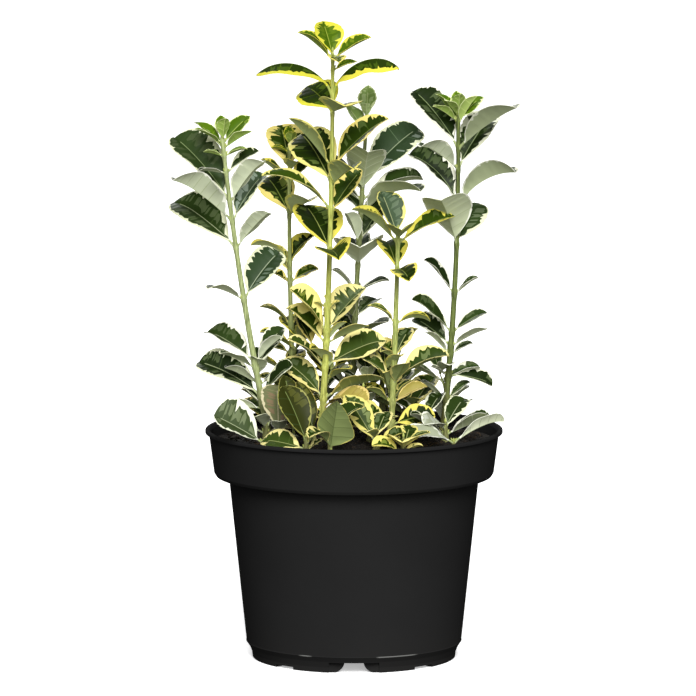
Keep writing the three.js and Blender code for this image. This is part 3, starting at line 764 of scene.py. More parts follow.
# How the pairs grow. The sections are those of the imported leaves: shares of the length and of the width.
growthPlan = {
    "flare": 1.1, "flareHeight": 7, "seat": 0.4, "tuftTop": (1.2, 5), "tuftRadius": (1.5, 1.1),
    "stalkShare": 0.12, "stalkLift": 22, "steepest": 86, "rootDepth": 0.6, "smallLeaf": 31,
    "cadThickness": 0.9, "fold": (14, 34), "width": {"silver": (0.46, 0.56), "gold": (0.46, 0.6)},
    "turnSwing": 4, "rollSwing": 8, "cornersFrom": 0.15,
    "turnTries": (0, 9, -9, 18, -18, 28, -28), "riseTries": (0, 9, -9, 18), "matchWithin": 0.12,
    "sections": {
        "silver": ((0, 0.07), (0.12, 0.1), (0.32, 0.66), (0.56, 0.97), (0.82, 0.9), (1, 0.28)),
        "gold": ((0, 0.07), (0.12, 0.1), (0.34, 0.76), (0.58, 1), (0.82, 0.74), (1, 0.16)),
    },
    "smallSections": {
        "silver": ((0, 0.07), (0.12, 0.1), (0.44, 0.86), (0.76, 0.94), (1, 0.26)),
        "gold": ((0, 0.07), (0.12, 0.1), (0.44, 0.92), (0.74, 0.84), (1, 0.18)),
    },
}


def chance(n):
    # a repeatable number from 0 to 1 for each whole number
    s = math.sin(n * 12.9898) * 43758.5453
    return s - math.floor(s)


def between(limits, share):
    return limits[0] + (limits[1] - limits[0]) * share


def stemAt(shoot, z):
    share = (z - shoot["level"]) / (shoot["top"] - shoot["level"])
    swing = 4 * share * (1 - share)
    foot, tip, bow = shoot["foot"], shoot["tip"], shoot["bow"]
    return np.array([foot[i] + (tip[i] - foot[i]) * share + bow[i] * swing for i in (0, 1)] + [z])


def stemRadius(shoot, z):
    plan = growthPlan
    share = (z - shoot["level"]) / (shoot["top"] - shoot["level"])
    spread = max(0.0, 1 - (z - shoot["level"]) / plan["flareHeight"])
    return between(shoot["radius"], share) + plan["flare"] * spread * spread


def rooted(tuft):
    # a tuft's stem and rows from its foot in the compost
    plan, pairs = growthPlan, tuft["pairs"]
    tuft["level"] = compostTop(*tuft["foot"]) - plan["seat"]
    tuft["tip"], tuft["bow"], tuft["radius"] = tuft["foot"], (0, 0), plan["tuftRadius"]
    tuft["masses"] = {"": [(tuft["level"] + row[0],) + tuple(row[1:]) for row in pairs]}
    tuft["top"] = tuft["masses"][""][-1][0] + plan["tuftTop"][len(pairs) > 1]


def pairLeaves(shoot, row, number):
    # the leaves of a pair, with small seeded differences
    plan, kind = growthPlan, shoot["kind"]
    height, turn, bend, *sides = row
    leaves = []
    for side, (length, rise, roll, *rest) in enumerate(sides):
        seed = 10 * (2 * number + side)
        way = turn + 180 * side + plan["turnSwing"] * (chance(seed + 1) - 0.5)
        sign = 1 if math.cos(math.radians(way)) > 0 else -1
        breadth = rest[0] if rest else between(plan["width"][kind], chance(seed + 4))
        leaves.append({
            "kind": kind, "middle": stemAt(shoot, height), "stemRadius": stemRadius(shoot, height),
            "turn": way, "rise": rise, "bend": bend,
            "roll": sign * roll + plan["rollSwing"] * (chance(seed + 2) - 0.5),
            "fold": between(plan["fold"], chance(seed + 3)), "length": length, "width": length * breadth,
            "edge": 1, "shape": kind, "seed": seed, "side": side,
        })
    return leaves


def ribAngle(leaf, share):
    plan = growthPlan
    stalk = plan["stalkShare"]
    if share < stalk:
        return min(plan["steepest"], leaf["rise"] + plan["stalkLift"] * (1 - share / stalk))
    return leaf["rise"] - leaf["bend"] * (share - stalk) / (1 - stalk)


def leafAxes(leaf):
    turn = math.radians(leaf["turn"])
    outwards = np.array([math.cos(turn), math.sin(turn), 0.0])
    sideways = np.array([-math.sin(turn), math.cos(turn), 0.0])
    return outwards, sideways, np.array([0.0, 0.0, 1.0])


def roughCorners(leaf):
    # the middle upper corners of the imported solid's leaf, where this leaf would have them
    plan = growthPlan
    outwards, sideways, up = leafAxes(leaf)
    rib = leaf["middle"] + outwards * plan["rootDepth"] * leaf["stemRadius"]
    sections = plan["smallSections" if leaf["length"] < plan["smallLeaf"] else "sections"][leaf["kind"]]
    roll, before, corners = math.radians(leaf["roll"]), 0.0, []
    for share, wide in sections:
        way = math.radians(ribAngle(leaf, (before + share) / 2))
        rib = rib + (outwards * math.cos(way) + up * math.sin(way)) * leaf["length"] * (share - before)
        before = share
        angle = math.radians(ribAngle(leaf, share))
        level = up * math.cos(angle) - outwards * math.sin(angle)
        normal = level * math.cos(roll) - sideways * math.sin(roll)
        if wide > plan["cornersFrom"]:
            corners.append(rib + normal * plan["cadThickness"] / 2)
    return corners


def packedSurface(nodes):
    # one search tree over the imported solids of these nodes
    points, faces = [], []
    for name in nodes:
        mesh = frame["nodes"][name].data
        start = len(points)
        points += [v.co / mm for v in mesh.vertices]
        faces += [[start + i for i in p.vertices] for p in mesh.polygons]
    return BVHTree.FromPolygons(points, faces)


def firstThat(fits, leaf):
    # the leaf at the first of the turns and rises at which it fits, or None where it fits at none
    for rise in growthPlan["riseTries"]:
        for turn in growthPlan["turnTries"]:
            tried = dict(leaf, turn=leaf["turn"] + turn, rise=leaf["rise"] + rise)
            if fits(tried):
                return tried
    return None


def asPacked(leaf, surface):
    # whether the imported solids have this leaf
    apart = [surface.find_nearest(Vector(corner))[3] for corner in roughCorners(leaf)]
    return max(apart[:-1]) < growthPlan["matchWithin"]


# The moods of the leaves: the tones of each zone of a blade in this order (one of each list for a leaf), how
# wide the pale margin is in millimetres, how often a block between two veins has a paler patch and where
# it starts, and for some their outline and how ragged the margin is. The paler patches are partly the
# leaf's grey-green mottling and partly painted sheen.
zoneNames = ("dark", "patch", "margin", "rib", "vein", "under", "underMargin", "underVein", "stalk")
leafMoods = {
    "silver": {
        "tones": "2b3d14 33481a 3a5024 243512, 5e6e45 52623a 70805a, e6e8cc dcdfbc ececd8, a4ae84 8a9a68, "
                 "3d5222 465c2a, b3bb98 a6b088 b9c1a2, eef0de e4e7cf, bdc5a3 a5af88, bcc694 acb880",
        "marginWidth": (0.8, 2.2), "patchChance": 0.6, "patchFrom": (0.4, 0.9),
    },
    # painted shade: a darker copy of silver for leaves that lie in shade
    "shaded": {
        "tones": "2b3d14 33481a 243512, 5a6a42 506038 6a7854, dfe1c6 d4d8b8 e6e6d2, 98a278 84946a, "
                 "3d5222 465c2a, 7c8758 727e4e 88926a, c8ccb0 bcc2a2, 869064 727d50, a8b27c 98a46c",
        "marginWidth": (0.8, 2.0), "patchChance": 0.6, "patchFrom": (0.4, 0.9),
    },
    "silverPale": {
        "tones": "4c5e34 42542c, 7c8a60 6e7e54, f0f2e0 e8ebd2, b4bc98 a8b28a, 7c8c62 70805a, a3ab88 949e76, "
                 "eef0de e4e7cf, b2ba98 8b956e, bcc694 acb880",
        "marginWidth": (0.9, 2.2), "patchChance": 0.9, "patchFrom": (0.2, 0.8),
    },
    # painted sheen: bluish grey-green patches on most blocks stand for the light that a glossy leaf gives
    # back
    "glossy": {
        "tones": "3c5232 46603c, 8c9c88 7c8e76 98a694, e6e8cc dcdfbc, a8b494 9aa884, 566c4a 627a56, "
                 "b3bb98 a6b088, eef0de e4e7cf, bdc5a3 a5af88, bcc694 acb880",
        "marginWidth": (0.6, 1.8), "patchChance": 1.3, "patchFrom": (0.1, 0.6),
    },
    # painted reflection: pale tones over the whole leaf, its pale upper face standing for light mirrored by a
    # glossy face
    "frosted": {
        "tones": "d0d6ba c4ccac, e6eadb dae0ca, f0f2e2 e8ebd6, dfe4cc d4dabf, c8d0b2 bcc6a4, cfd5b4 c5cca6, "
                 "f0f2e2 e8ebd6, ccd2b8 aeb694, bcc694 acb880",
        "marginWidth": (0.9, 2.0), "patchChance": 0.9, "patchFrom": (0.1, 0.7),
    },
    "deep": {
        "tones": "33390f 3c4216 2a300c, 5a5e26 686a2c, a4964c 8c8c48, 78864c 6c7a40, 3a4c1e 42542a, "
                 "6c7848 626e40, b4ac60 a8a258, 78844e 566238, 98a468 8a965c",
        "marginWidth": (0.3, 0.9), "patchChance": 0.5, "patchFrom": (0.3, 0.8),
    },
    "gold": {
        "tones": "2e430c 37500f 263809 40590f, 6b7f3c 586c34 7f8f40, ded264 d4ca54 e4d47a dad27a, "
                 "a0aa5c 8e9c4c, 425c16 4c661e, 9aa66e 8d9962 a6b07c, dcd878 d2d070, a3ae78 929e68, "
                 "b8c078 a8b268",
        "marginWidth": (1.6, 4.2), "patchChance": 0.6, "patchFrom": (0.4, 0.9),
    },
    "arched": {
        "tones": "2e440a 3a540e, 56701c 4a6416, d8d048 ccc840, 8a9a34 7c8c2c, 4f6a14 5b741c, a4a83c 989e38, "
                 "e0da50 d8d448, acb044 a0a63c, b0bc60 a0b050",
        "marginWidth": (3.2, 3.8), "patchChance": 0.4, "patchFrom": (0.5, 0.9), "ragged": 0.3,
    },
    "goldCream": {
        "tones": "3a5018 2f4412 44591f, 76864e 67784a 88965a, e0d67e d8ce74 e6dc92 dad084, a4aa70 949c60, "
                 "475f26 52682c, 808c56 76824e 8c9762, d0c67e c6be74, 8a965e 74804c, b8c088 a8b27a",
        "marginWidth": (1.3, 3.4), "patchChance": 0.75, "patchFrom": (0.3, 0.85),
    },
    "goldWide": {
        "tones": "4f6a16 3f580f, 8c9a3c 7a8c34, eade74 e6d86a f0e48c, ccc470 bcb860, 7f9030 8c9c3c, "
                 "aeae68 a2a45c, d0c878 c8c070, bcb878 949858, c4ca80 bcc478",
        "marginWidth": (4.2, 7.5), "patchChance": 0.5, "patchFrom": (0.3, 0.8),
    },
    "youngSilver": {
        "tones": "587c10 668a18, 84a42c 749624, e0e8ac d4df96, b4c668 a6ba58, 7c9c24 88a630, 94a85a 88a04c, "
                 "c4d090 b8c67c, a8b86c 7c9444, a8b868 9cb05c",
        "shape": "young", "marginWidth": (0.6, 1.4), "patchChance": 0.5, "patchFrom": (0.2, 0.8),
    },
    "youngGold": {
        "tones": "4a6a0a 587a10, 7c9620 6a8818, d4d050 ccc840, a8b44c 9cac40, 6a8a18 789428, 8a9c44 7c9040, "
                 "bcc05c b0b850, 9cac54 708438, a4b058 98a850",
        "shape": "young", "marginWidth": (0.6, 2.2), "patchChance": 0.5, "patchFrom": (0.3, 0.8),
    },
    "youngBack": {
        "tones": "98b662 a4c06c, bcd48c b0c880, c8d49c bccc8c, c4d490 b8ca84, b0c880 bcd48c, a0b078 94a66c, "
                 "bccb94 b0c088, acba84 8c9c64, a8b878 9cae6c",
        "shape": "young", "marginWidth": (0.6, 1.6), "patchChance": 0.6, "patchFrom": (0.1, 0.8),
    },
    "tan": {
        "tones": "8c9264 84895e, a4906e 988464, c4bc98 b8a884, bcb490 b0a880, a49c74 948a64, b09a74 a48c68, "
                 "c4b08c b8a480, bca684 94805c, a89468 9c885c",
        "marginWidth": (0.5, 1.6), "patchChance": 0.6, "patchFrom": (0.1, 0.8),
    },
    # grey-green upper face: partly the leaf's own tone, partly painted sheen
    "greyGold": {
        "tones": "52684a 485f3e, 7c8f70 6c8062, d2cc78 c8c66c, b4bc8c a8b080, 90a080 84966f, 8c9664 808c58, "
                 "c4c070 b8b868, 98a26c 6c784c, b8c078 a8b268",
        "marginWidth": (0.6, 1.4), "patchChance": 0.6, "patchFrom": (0.2, 0.8),
    },
    "yellowed": {
        "tones": "d0be60 c0b258, dccc74 d2c068, dcc478 e0ca80, d8c480 ccb874, ccb068 b89c50, ccb864 c0ae5a, "
                 "dccc78 d4c270, c4b470 a89854, c0b070 b4a464",
        "marginWidth": (0.8, 2.2), "patchChance": 0.6, "patchFrom": (0.2, 0.8),
    },
}
for mood in leafMoods.values():
    mood.update(zip(zoneNames, [tones.split() for tones in mood["tones"].split(", ")]))

# How each shoot looks: its bark, light and dark, how many of its last rows are young, and the leaves
# that differ, by mass, row and side, in their mood, size or angles
shootLooks = {
    "left": {"bark": ("c0cc8e", "94a268"), "young": 4, "youngMood": "youngSilver", "changes": {
        ("middle", 0, 0): {"mood": "glossy", "wide": 1.24, "long": 1.04, "roll": 8, "edge": 1.5},
        ("top", 1, 0): {"mood": "glossy"},
    }},
    "second": {"bark": ("b4be78", "8a9658"), "young": 2, "youngMood": "youngGold", "changes": {
        ("top", 2, 0): {"wide": 1.2, "edge": 1.3},
        ("low", 1, 1): {"mood": "goldWide"},
        ("middle", 0, 1): {"wide": 1.5, "roll": 16},
        ("middle", 2, 0): {"wide": 1.2},
    }, "moods": {"low": "goldCream"}},
    "centre": {"bark": ("d6dc74", "a8b052"), "young": 3, "youngMood": "youngGold", "changes": {
        ("low", 3, 1): {"mood": "goldWide", "wide": 1.25},
        ("low", 4, 0): {"edge": 1.6, "wide": 1.25, "roll": 10},
        ("low", 4, 1): {"mood": "goldWide", "wide": 1.35, "roll": 8},
        ("middle", 0, 0): {"turn": 22, "wide": 1.25},
        ("top", 1, 0): {"mood": "arched", "rise": 22, "bend": 36, "roll": 2, "fold": -30, "wide": 0.76,
                        "long": 1.12},
        ("top", 1, 1): {"mood": "arched", "rise": 19, "bend": 34, "roll": 2, "fold": -28, "wide": 0.68,
                        "long": 1.14},
        ("top", 0, 0): {"bend": -10, "rise": 3, "turn": -18, "roll": 6, "fold": 14, "wide": 1.35,
                        "edge": 1.6},
        ("top", 0, 1): {"mood": "arched", "roll": 14, "fold": 6, "wide": 1.25, "edge": 0.8},
        ("top", 3, 0): {"roll": 14, "wide": 1.1},
        ("top", 3, 1): {"roll": 8, "wide": 0.86},
        ("top", 4, 0): {"wide": 1.4, "rise": -6, "turn": 12, "edge": 1.5},
        ("top", 4, 1): {"mood": "goldWide", "rise": -12, "wide": 1.6, "long": 1.2, "edge": 0.5},
    }, "moods": {"low": "goldCream"}},
    "back": {"bark": ("a4ae74", "7e8a54"), "young": 2, "youngMood": "youngBack", "changes": {
        ("top", 3, 0): {"mood": "glossy"},
        ("middle", 1, 0): {"wide": 1.35, "rise": 4, "edge": 1.3},
        ("middle", 1, 1): {"wide": 1.3},
    }, "moods": {"low": "shaded"}},
    "front": {"bark": ("c2cb76", "96a454"), "changes": {
        ("low", 0, 0): {"mood": "gold", "roll": 26, "wide": 1.1, "rise": -8},
        ("low", 0, 1): {"mood": "gold", "roll": 8, "wide": 1.15, "rise": -6},
        ("low", 1, 0): {"mood": "yellowed", "long": 1.2, "rise": -18},
        ("top", 0, 0): {"wide": 1.3},
        ("top", 0, 1): {"wide": 1.4},
        ("top", 2, 1): {"mood": "greyGold"},
        ("top", 2, 0): {"mood": "greyGold"},
    }, "moods": {"low": "goldCream"}},
    "right": {"bark": ("7c8a4a", "525e34"), "young": 3, "youngMood": "youngSilver", "changes": {
        ("top", 0, 0): {"roll": 30, "wide": 1.3},
        ("top", 0, 1): {"rise": -6, "wide": 1.08},
        ("middle", 0, 1): {"roll": 22},
        ("low", 4, 1): {"roll": 22},
        ("low", 3, 1): {"roll": 8},
    }},
}
tuftLooks = {
    "left": {"changes": {("", 0, 0): {"mood": "tan"},
                         ("", 0, 1): {"rise": -9, "bend": -10, "long": 0.9}}},
    "front_left": {"changes": {("", 1, 1): {"mood": "deep"}}, "moods": {"": "goldCream"}},
    "front": {"changes": {("", 0, 0): {"mood": "deep", "shape": "ovate", "turn": -38, "wide": 1.0},
                          ("", 1, 0): {"edge": 0.7, "rise": 8}}, "moods": {"": "goldCream"}},
    "front_middle": {"changes": {("", 0, 1): {"roll": 24, "wide": 0.8, "edge": 1.3},
                                 ("", 0, 0): {"wide": 1.2, "rise": 8, "roll": 26}},
                     "moods": {"": "goldCream"}},
    "front_right": {"changes": {("", 0, 0): {"mood": "goldWide", "bend": 50, "rise": 8, "wide": 1.2}},
                    "moods": {"": "goldCream"}},
    "right": {"changes": {("", 0, 0): {"rise": -8, "long": 0.8, "turn": 20},
                          ("", 1, 0): {"mood": "frosted", "roll": 26, "long": 0.8}}},
    "middle_right": {"moods": {"": "goldCream"}},
    "middle": {"moods": {"": "goldCream"}},
}

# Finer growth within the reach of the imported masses. Sprigs are more tufts, spurs are single leaves on a
# stem, fillers are tufts among the stems, and twigs leave a stem at a height and turn, with how far they
# lean out and up.
sprigs = {
    "rimLeft": {"kind": "silver", "foot": (-50, -60), "pairs": [(4, 178, 12, (24, 36, -10), (16, 30, 0))]},
    "leftInner": {"kind": "silver", "foot": (-48, -28), "pairs": [
        (4, 94, 14, (33, 68, 0, 0.62), (18, 40, 0)),
    ], "look": {"changes": {("", 0, 0): {"mood": "tan"}}}},
    "frontLeft": {"kind": "gold", "foot": (-25, -50), "pairs": [
        (5, 128, 10, (38, 66, 4, 0.34)),
    ], "look": {"moods": {"": "deep"}, "changes": {("", 0, 0): {"edge": 0.5}}}},
    "frontDark": {"kind": "gold", "foot": (-38, -42), "pairs": [
        (5, 112, 10, (40, 71, 0, 0.36)),
    ], "look": {"moods": {"": "deep"}, "changes": {("", 0, 0): {"edge": 0.5}}}},
    "frontUpper": {"kind": "gold", "foot": (10, -44), "pairs": [
        (6, 176, 14, (22, 18, 20), (20, 34, 10)),
    ], "look": {"moods": {"": "goldCream"}}},
    "rimRight": {"kind": "gold", "foot": (30, -79), "pairs": [
        (3, 190, 40, (20, 36, 20, 0.8), (14, 40, 0)),
    ], "look": {"moods": {"": "goldWide"}}},
    "rightPale": {"kind": "silver", "foot": (63, -48), "pairs": [
        (5, 200, 26, (30, 22, 18, 0.72), (36, 32, -30, 0.42)),
    ], "look": {"moods": {"": "frosted"}}},
    "leftPale": {"kind": "silver", "foot": (-57, -50), "pairs": [
        (4, 184, 8, (36, 33, 38, 0.82), (18, 10, 14)),
    ], "look": {"moods": {"": "silverPale"}}},
    "rightInner": {"kind": "silver", "foot": (46, -8), "pairs": [
        (4, 150, 12, (26, 44, 10)), (9, 60, 12, (24, 40, 0)),
    ]},
    "backMiddle": {"kind": "gold", "foot": (2, 62), "pairs": [
        (4, 80, 12, (28, 36, 0), (26, 50, 0)), (11, 0, 12, (26, 50, 0), (24, 46, 0)),
    ]},
    "backRight": {"kind": "silver", "foot": (58, 46), "pairs": [
        (4, 50, 12, (28, 30, 0), (26, 50, 0)), (11, -30, 12, (24, 50, 0), (24, 46, 0)),
    ]},
    "backLeft": {"kind": "gold", "foot": (-56, 40), "pairs": [
        (4, 130, 12, (28, 30, 0), (26, 50, 0)), (11, 30, 12, (24, 50, 0), (24, 46, 0)),
    ]},
}
spurs = {
    "left": {"masses": {"": [(160, 168, 15, (24, 6, -26, 0.5))]}, "look": {"moods": {"": "silverPale"}}},
    "centre": {"masses": {"": [
        (226, 5, 20, (8, 40, 0), (9, 36, 0)), (229, 95, 20, (7, 50, 0)), (160, 200, 10, (13, 24, 20)),
        (162, -44, 46, (40, 32, 20, 0.42)),
    ]}, "look": {"changes": {("", 3, 0): {"mood": "yellowed"}}}},
    "right": {"masses": {"": [(347, 58, 12, (20, 36, 14), (19, 40, 10))]},
              "look": {"moods": {"": "youngSilver"}}},
}
fillers = {
    "midFront": {"kind": "gold", "foot": (6, -26), "pairs": [
        (5, 30, 12, (30, 58, 10), (30, 54, 10)), (15, 118, 12, (28, 58, 0), (26, 56, 0)),
        (25, 24, 12, (28, 56, 14), (28, 54, 14)),
    ], "look": {"moods": {"": "goldCream"}}},
    "midBack": {"kind": "silver", "foot": (18, 26), "pairs": [
        (6, 20, 12, (30, 50, 10), (28, 54, 10)), (17, 100, 12, (28, 58, 0), (26, 56, 0)),
        (28, 10, 12, (26, 54, 10), (26, 54, 10)),
    ], "look": {"moods": {"": "shaded"}}},
}
twigs = {
    "second": [(168, 200, 7, 12), (186, -60, 8, 14)],
    "centre": [(172, 60, 10, 14), (186, 140, 10, 14), (197, 80, 10, 14)],
    "back": [(164, 150, 10, 14), (178, 30, 10, 14), (190, 100, 10, 14), (208, 80, 8, 12)],
    "front": [(158, 100, 10, 14), (172, 120, 10, 14), (186, 60, 10, 14)],
    "left": [(168, 100, 9, 12)],
    "right": [(168, 120, 9, 12)],
}
twigPlan = {
    "radius": (0.8, 0.5), "rows": ((0.55, 70), (1.0, -10)), "bend": 14,
    "lengths": (17, 27), "rises": (26, 58), "rolls": (-8, 16),
}


def grown(plant, place, order, row, number, look, fits):
    # the leaves of a row, each where it fits, with its mood and what is changed about it
    leaves = []
    young = place == "top" and order >= len(plant["masses"][place]) - look.get("young", 0)
    for leaf in pairLeaves(plant, row, number):
        fitted = firstThat(fits, leaf)
        if not fitted:
            continue
        change = look.get("changes", {}).get((place, order, leaf["side"]), {})
        usual = look["youngMood"] if young else look.get("moods", {}).get(place, plant["kind"])
        fitted["mood"] = change.get("mood", usual)
        fitted["edge"] = change.get("edge", 1)
        fitted["shape"] = change.get("shape", leafMoods[fitted["mood"]].get("shape", plant["kind"]))
        fitted["width"] *= change.get("wide", 1) * leafPlan["wider"]
        fitted["length"] *= change.get("long", 1)
        fitted["fold"] = change.get("fold", fitted["fold"])
        sign = 1 if math.cos(math.radians(fitted["turn"])) > 0 else -1
        fitted["roll"] += change.get("roll", 0) * sign
        for angle in ("turn", "rise", "bend"):
            fitted[angle] += change.get(angle, 0)
        leaves.append(fitted)
    return leaves


def growPacked():
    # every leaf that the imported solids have
    for shoot in shoots.values():
        shoot["level"] = compostTop(*shoot["foot"]) - growthPlan["seat"]
    for tuft in tufts.values():
        rooted(tuft)
    leaves, number = {}, 0
    for group, plants, looks in (("shoots", shoots, shootLooks), ("tufts", tufts, tuftLooks)):
        for name, plant in plants.items():
            leaves[group, name] = []
            for place, rows in plant["masses"].items():
                surface = packedSurface([f"{name}_leaves_{place}" if place else f"tuft_{name}"])
                for order, row in enumerate(rows):
                    number += 1
                    leaves[group, name] += grown(plant, place, order, row, number, looks.get(name, {}),
                                                 lambda leaf: asPacked(leaf, surface))
    return leaves


def finePlants():
    # the sprigs, the spurs' shoots, the fillers and the twigs, each as a plant of its own with rows of
    # leaves, and whether it has a stem of its own
    rng = np.random.default_rng(3)
    for tuft in list(sprigs.values()) + list(fillers.values()):
        rooted(tuft)
    plants = [(sprig, True) for sprig in sprigs.values()]
    plants += [(dict(shoots[name], **spur), False) for name, spur in spurs.items()]
    plants += [(filler, True) for filler in fillers.values()]
    drawn = [twigPlan[part] for part in ("lengths", "rises", "rolls")]
    for name, rows in twigs.items():
        for height, turn, out, up in rows:
            foot, a = stemAt(shoots[name], height), math.radians(turn)
            tip = (foot[0] + out * math.cos(a), foot[1] + out * math.sin(a))
            pairs = [(height + up * share, turn + more, twigPlan["bend"]) + tuple(
                tuple(rng.uniform(*limits) for limits in drawn) for side in (0, 1))
                for share, more in twigPlan["rows"]]
            plants.append((dict(shoots[name], foot=tuple(foot[:2]), tip=tip, bow=(0, 0), level=height,
                                top=height + up, radius=twigPlan["radius"], masses={"": pairs}), True))
    return plants


def outlineOf(leaf):
    # a coarse surface of a leaf with its bounds, to see whether it meets another
    points, _, _ = leafMesh(leaf, leafMoods[leaf["mood"]], np.random.default_rng(leaf["seed"] + 101))
    sheet = points[:len(points) // 2].reshape(-1, leafColumns, 3)[4::3, ::2]
    flat = sheet.reshape(-1, 3)
    faces = quads(np.arange(len(flat)).reshape(sheet.shape[:2]))
    return flat.min(axis=0), flat.max(axis=0), BVHTree.FromPolygons(flat.tolist(), faces.tolist())


def growFine(packed):
    # the finer growth, each leaf in the first variant that meets no other leaf, pot or compost
    placed = [outlineOf(leaf) for leaves in packed.values() for leaf in leaves]
    hard = packedSurface([n for n in frame["nodes"] if n in ("pot", "compost")])
    fine, number = {"silver": [], "gold": []}, 300
    plants = finePlants()

    def clear(leaf):
        low, high, surface = outlineOf(dict(leaf, mood=leaf["kind"]))
        near = [o for o in placed if (o[0] < high).all() and (low < o[1]).all()]
        if surface.overlap(hard) or any(surface.overlap(o[2]) for o in near):
            return False
        placed.append((low, high, surface))
        return True

    for plant, _ in plants:
        for order, row in enumerate(plant["masses"][""]):
            number += 1
            fine[plant["kind"]] += grown(plant, "", order, row, number, plant.get("look", {}), clear)
    return fine, [plant for plant, hasStem in plants if hasStem]


# The leaves' shape. An outline has where it is widest and the powers of its base, tip and end. A blade is
# cut into blocks between its side veins, with five stations each, and each half of it into cells across.
leafPlan = {
    "shape": {"silver": (0.64, 2.1, 3.2, 2.0), "gold": (0.55, 2.0, 2.2, 1.45), "young": (0.5, 1.8, 2.0, 1.25),
              "ovate": (0.3, 1.8, 1.5, 1.15)},
    "wider": 1.08, "cells": 7, "blockLength": 5.2, "blocks": (4, 8), "tipCrowding": 1.5,
    "stations": (0, 0.08, 0.3, 0.55, 0.8), "bulge": (0, 0.3, 0.9, 1.0, 0.6),
    "stalkRows": (0, 0.035, 0.075, 0.108), "stalkHalf": 0.42, "stalkHalfShare": 0.008,
    "lobes": (1.15, 0.95, 0.85, 0.9, 1.05), "streaks": (1, 1, 1, 1, 1, 1, 0.4, 0.6, 1.5, 2.0),
    "ragged": (0.72, 1.28), "deepChance": 0.15, "deeper": 1.8, "marginLimits": (0.16, 0.95),
    "patchEnds": (0, 0.22, 0, 0.06, 0.26), "patchSwing": 1.6, "patchGaps": 0.25, "patchShift": (-0.3, 0.2),
    "patchLimits": (0.1, 0.94), "teeth": (-0.34, 0.02, 0.28, 0.0, 0.22), "toothSize": (0.5, 1.4),
    "veined": 0.3, "sweep": 0.3, "quilting": 0.2, "wave": (0.2, 0.8), "waves": (1.2, 2.2), "droop": 2.4,
    "sickle": 0.03, "twist": 9, "thickness": (0.26, 0.5), "ridge": 0.45, "groove": 0.16, "ribHalf": 0.3,
    "shades": {"dark": 0.52, "patch": 0.56, "vein": 0.54, "margin": 0.86, "rib": 0.68, "stalk": 0.74,
               "under": 1.12, "underMargin": 1.08, "underVein": 1.12},
    "roughness": (0.38, 0.7), "specular": 0.06, "sharpFrom": 50,
    "usualWidth": 21, "usualLength": 40, "sizeLimits": (0.55, 1.2), "bladeFrom": 0.14, "droopFrom": 0.65,
    "zoneCells": {"margin": (0, 1, 12, 13), "underMargin": (0, 13), "rib": (6, 7),
                  "veins": ((2, 7), (7, 12)), "patches": ((9, 10), (3, 4))},
}
leafColumns = 2 * leafPlan["cells"] + 1
otherWay = [0, 3, 2, 1]


def halfShare(shape, s):
    # the outline: half width as a share of the widest, along the blade
    peak, base, tip, root = leafPlan["shape"][shape]
    s = np.clip(s, 0, 1)
    low = 1 - np.clip((peak - s) / peak, 0, 1) ** base
    high = (1 - np.clip((s - peak) / (1 - peak), 0, 1) ** tip) ** (1 / root)
    return np.where(s < peak, low, high)


def smoothStep(x):
    x = np.clip(x, 0, 1)
    return x * x * (3 - 2 * x)


def ribLine(leaf):
    # places and angles along the midrib, closely spaced
    outwards, sideways, up = leafAxes(leaf)
    shares = np.linspace(0, 1, 61)
    angles = np.radians([ribAngle(leaf, s) for s in shares])
    middle = (angles[1:] + angles[:-1]) / 2
    steps = (np.outer(np.cos(middle), outwards) + np.outer(np.sin(middle), up)) * leaf["length"] / 60
    start = leaf["middle"] + outwards * growthPlan["rootDepth"] * leaf["stemRadius"]
    return shares, angles, start + np.vstack([np.zeros(3), np.cumsum(steps, axis=0)])


def leafRows(leaf, mood, rng):
    # where the rows of points lie along the blade, and per row and side the edges of the zones
    plan, stalk, stations = leafPlan, growthPlan["stalkShare"], len(leafPlan["stations"])
    blocks = int(np.clip(round(leaf["length"] * (1 - stalk) / plan["blockLength"]), *plan["blocks"]))
    spots = np.array([(b + o) / blocks for b in range(blocks) for o in plan["stations"]] + [1.0])
    shares = 1 - (1 - spots) ** plan["tipCrowding"]
    shares[-1] = 0.998
    block = np.append(np.repeat(np.arange(blocks), stations), blocks - 1)
    station = np.append(np.tile(np.arange(stations), blocks), 0)
    stalkRows = (np.array(plan["stalkRows"]) - stalk) / (1 - stalk)
    half = np.maximum(leaf["width"] / 2 * halfShare(leaf["shape"], shares), 0.05)
    edges, patches, teeth = [], [], []
    for side in (0, 1):
        size = np.clip(leaf["width"] / plan["usualWidth"], *plan["sizeLimits"])
        depth = rng.uniform(*mood["marginWidth"], blocks) * size * leaf["edge"]
        depth = np.where(rng.random(blocks) < plan["deepChance"], depth * plan["deeper"], depth)
        ragged = rng.uniform(*plan["ragged"], len(station)) * rng.choice(plan["streaks"], len(station))
        ragged = 1 + (ragged - 1) * mood.get("ragged", 1)
        inner = 1 - depth[block] * np.array(plan["lobes"])[station] * ragged / half
        edges.append(np.clip(inner, *plan["marginLimits"]))
        often = mood["patchChance"] * rng.uniform(0, plan["patchSwing"])
        start = np.where(rng.random(blocks) < often, rng.uniform(*mood["patchFrom"], blocks), 2.0)
        none = rng.random(len(block)) < plan["patchGaps"]
        start = np.where(none, 2.0, start[block] + rng.uniform(*plan["patchShift"], len(block)))
        start = start + np.array(plan["patchEnds"])[station]
        patches.append(np.where(start > 1.2, 2.0, np.clip(start, *plan["patchLimits"])))
        bite = np.array(plan["teeth"])[station] * rng.uniform(*plan["toothSize"], len(station))
        teeth.append(bite * smoothStep((shares - 0.2) / 0.2))
    return stalkRows, shares, station, half, edges, patches, teeth


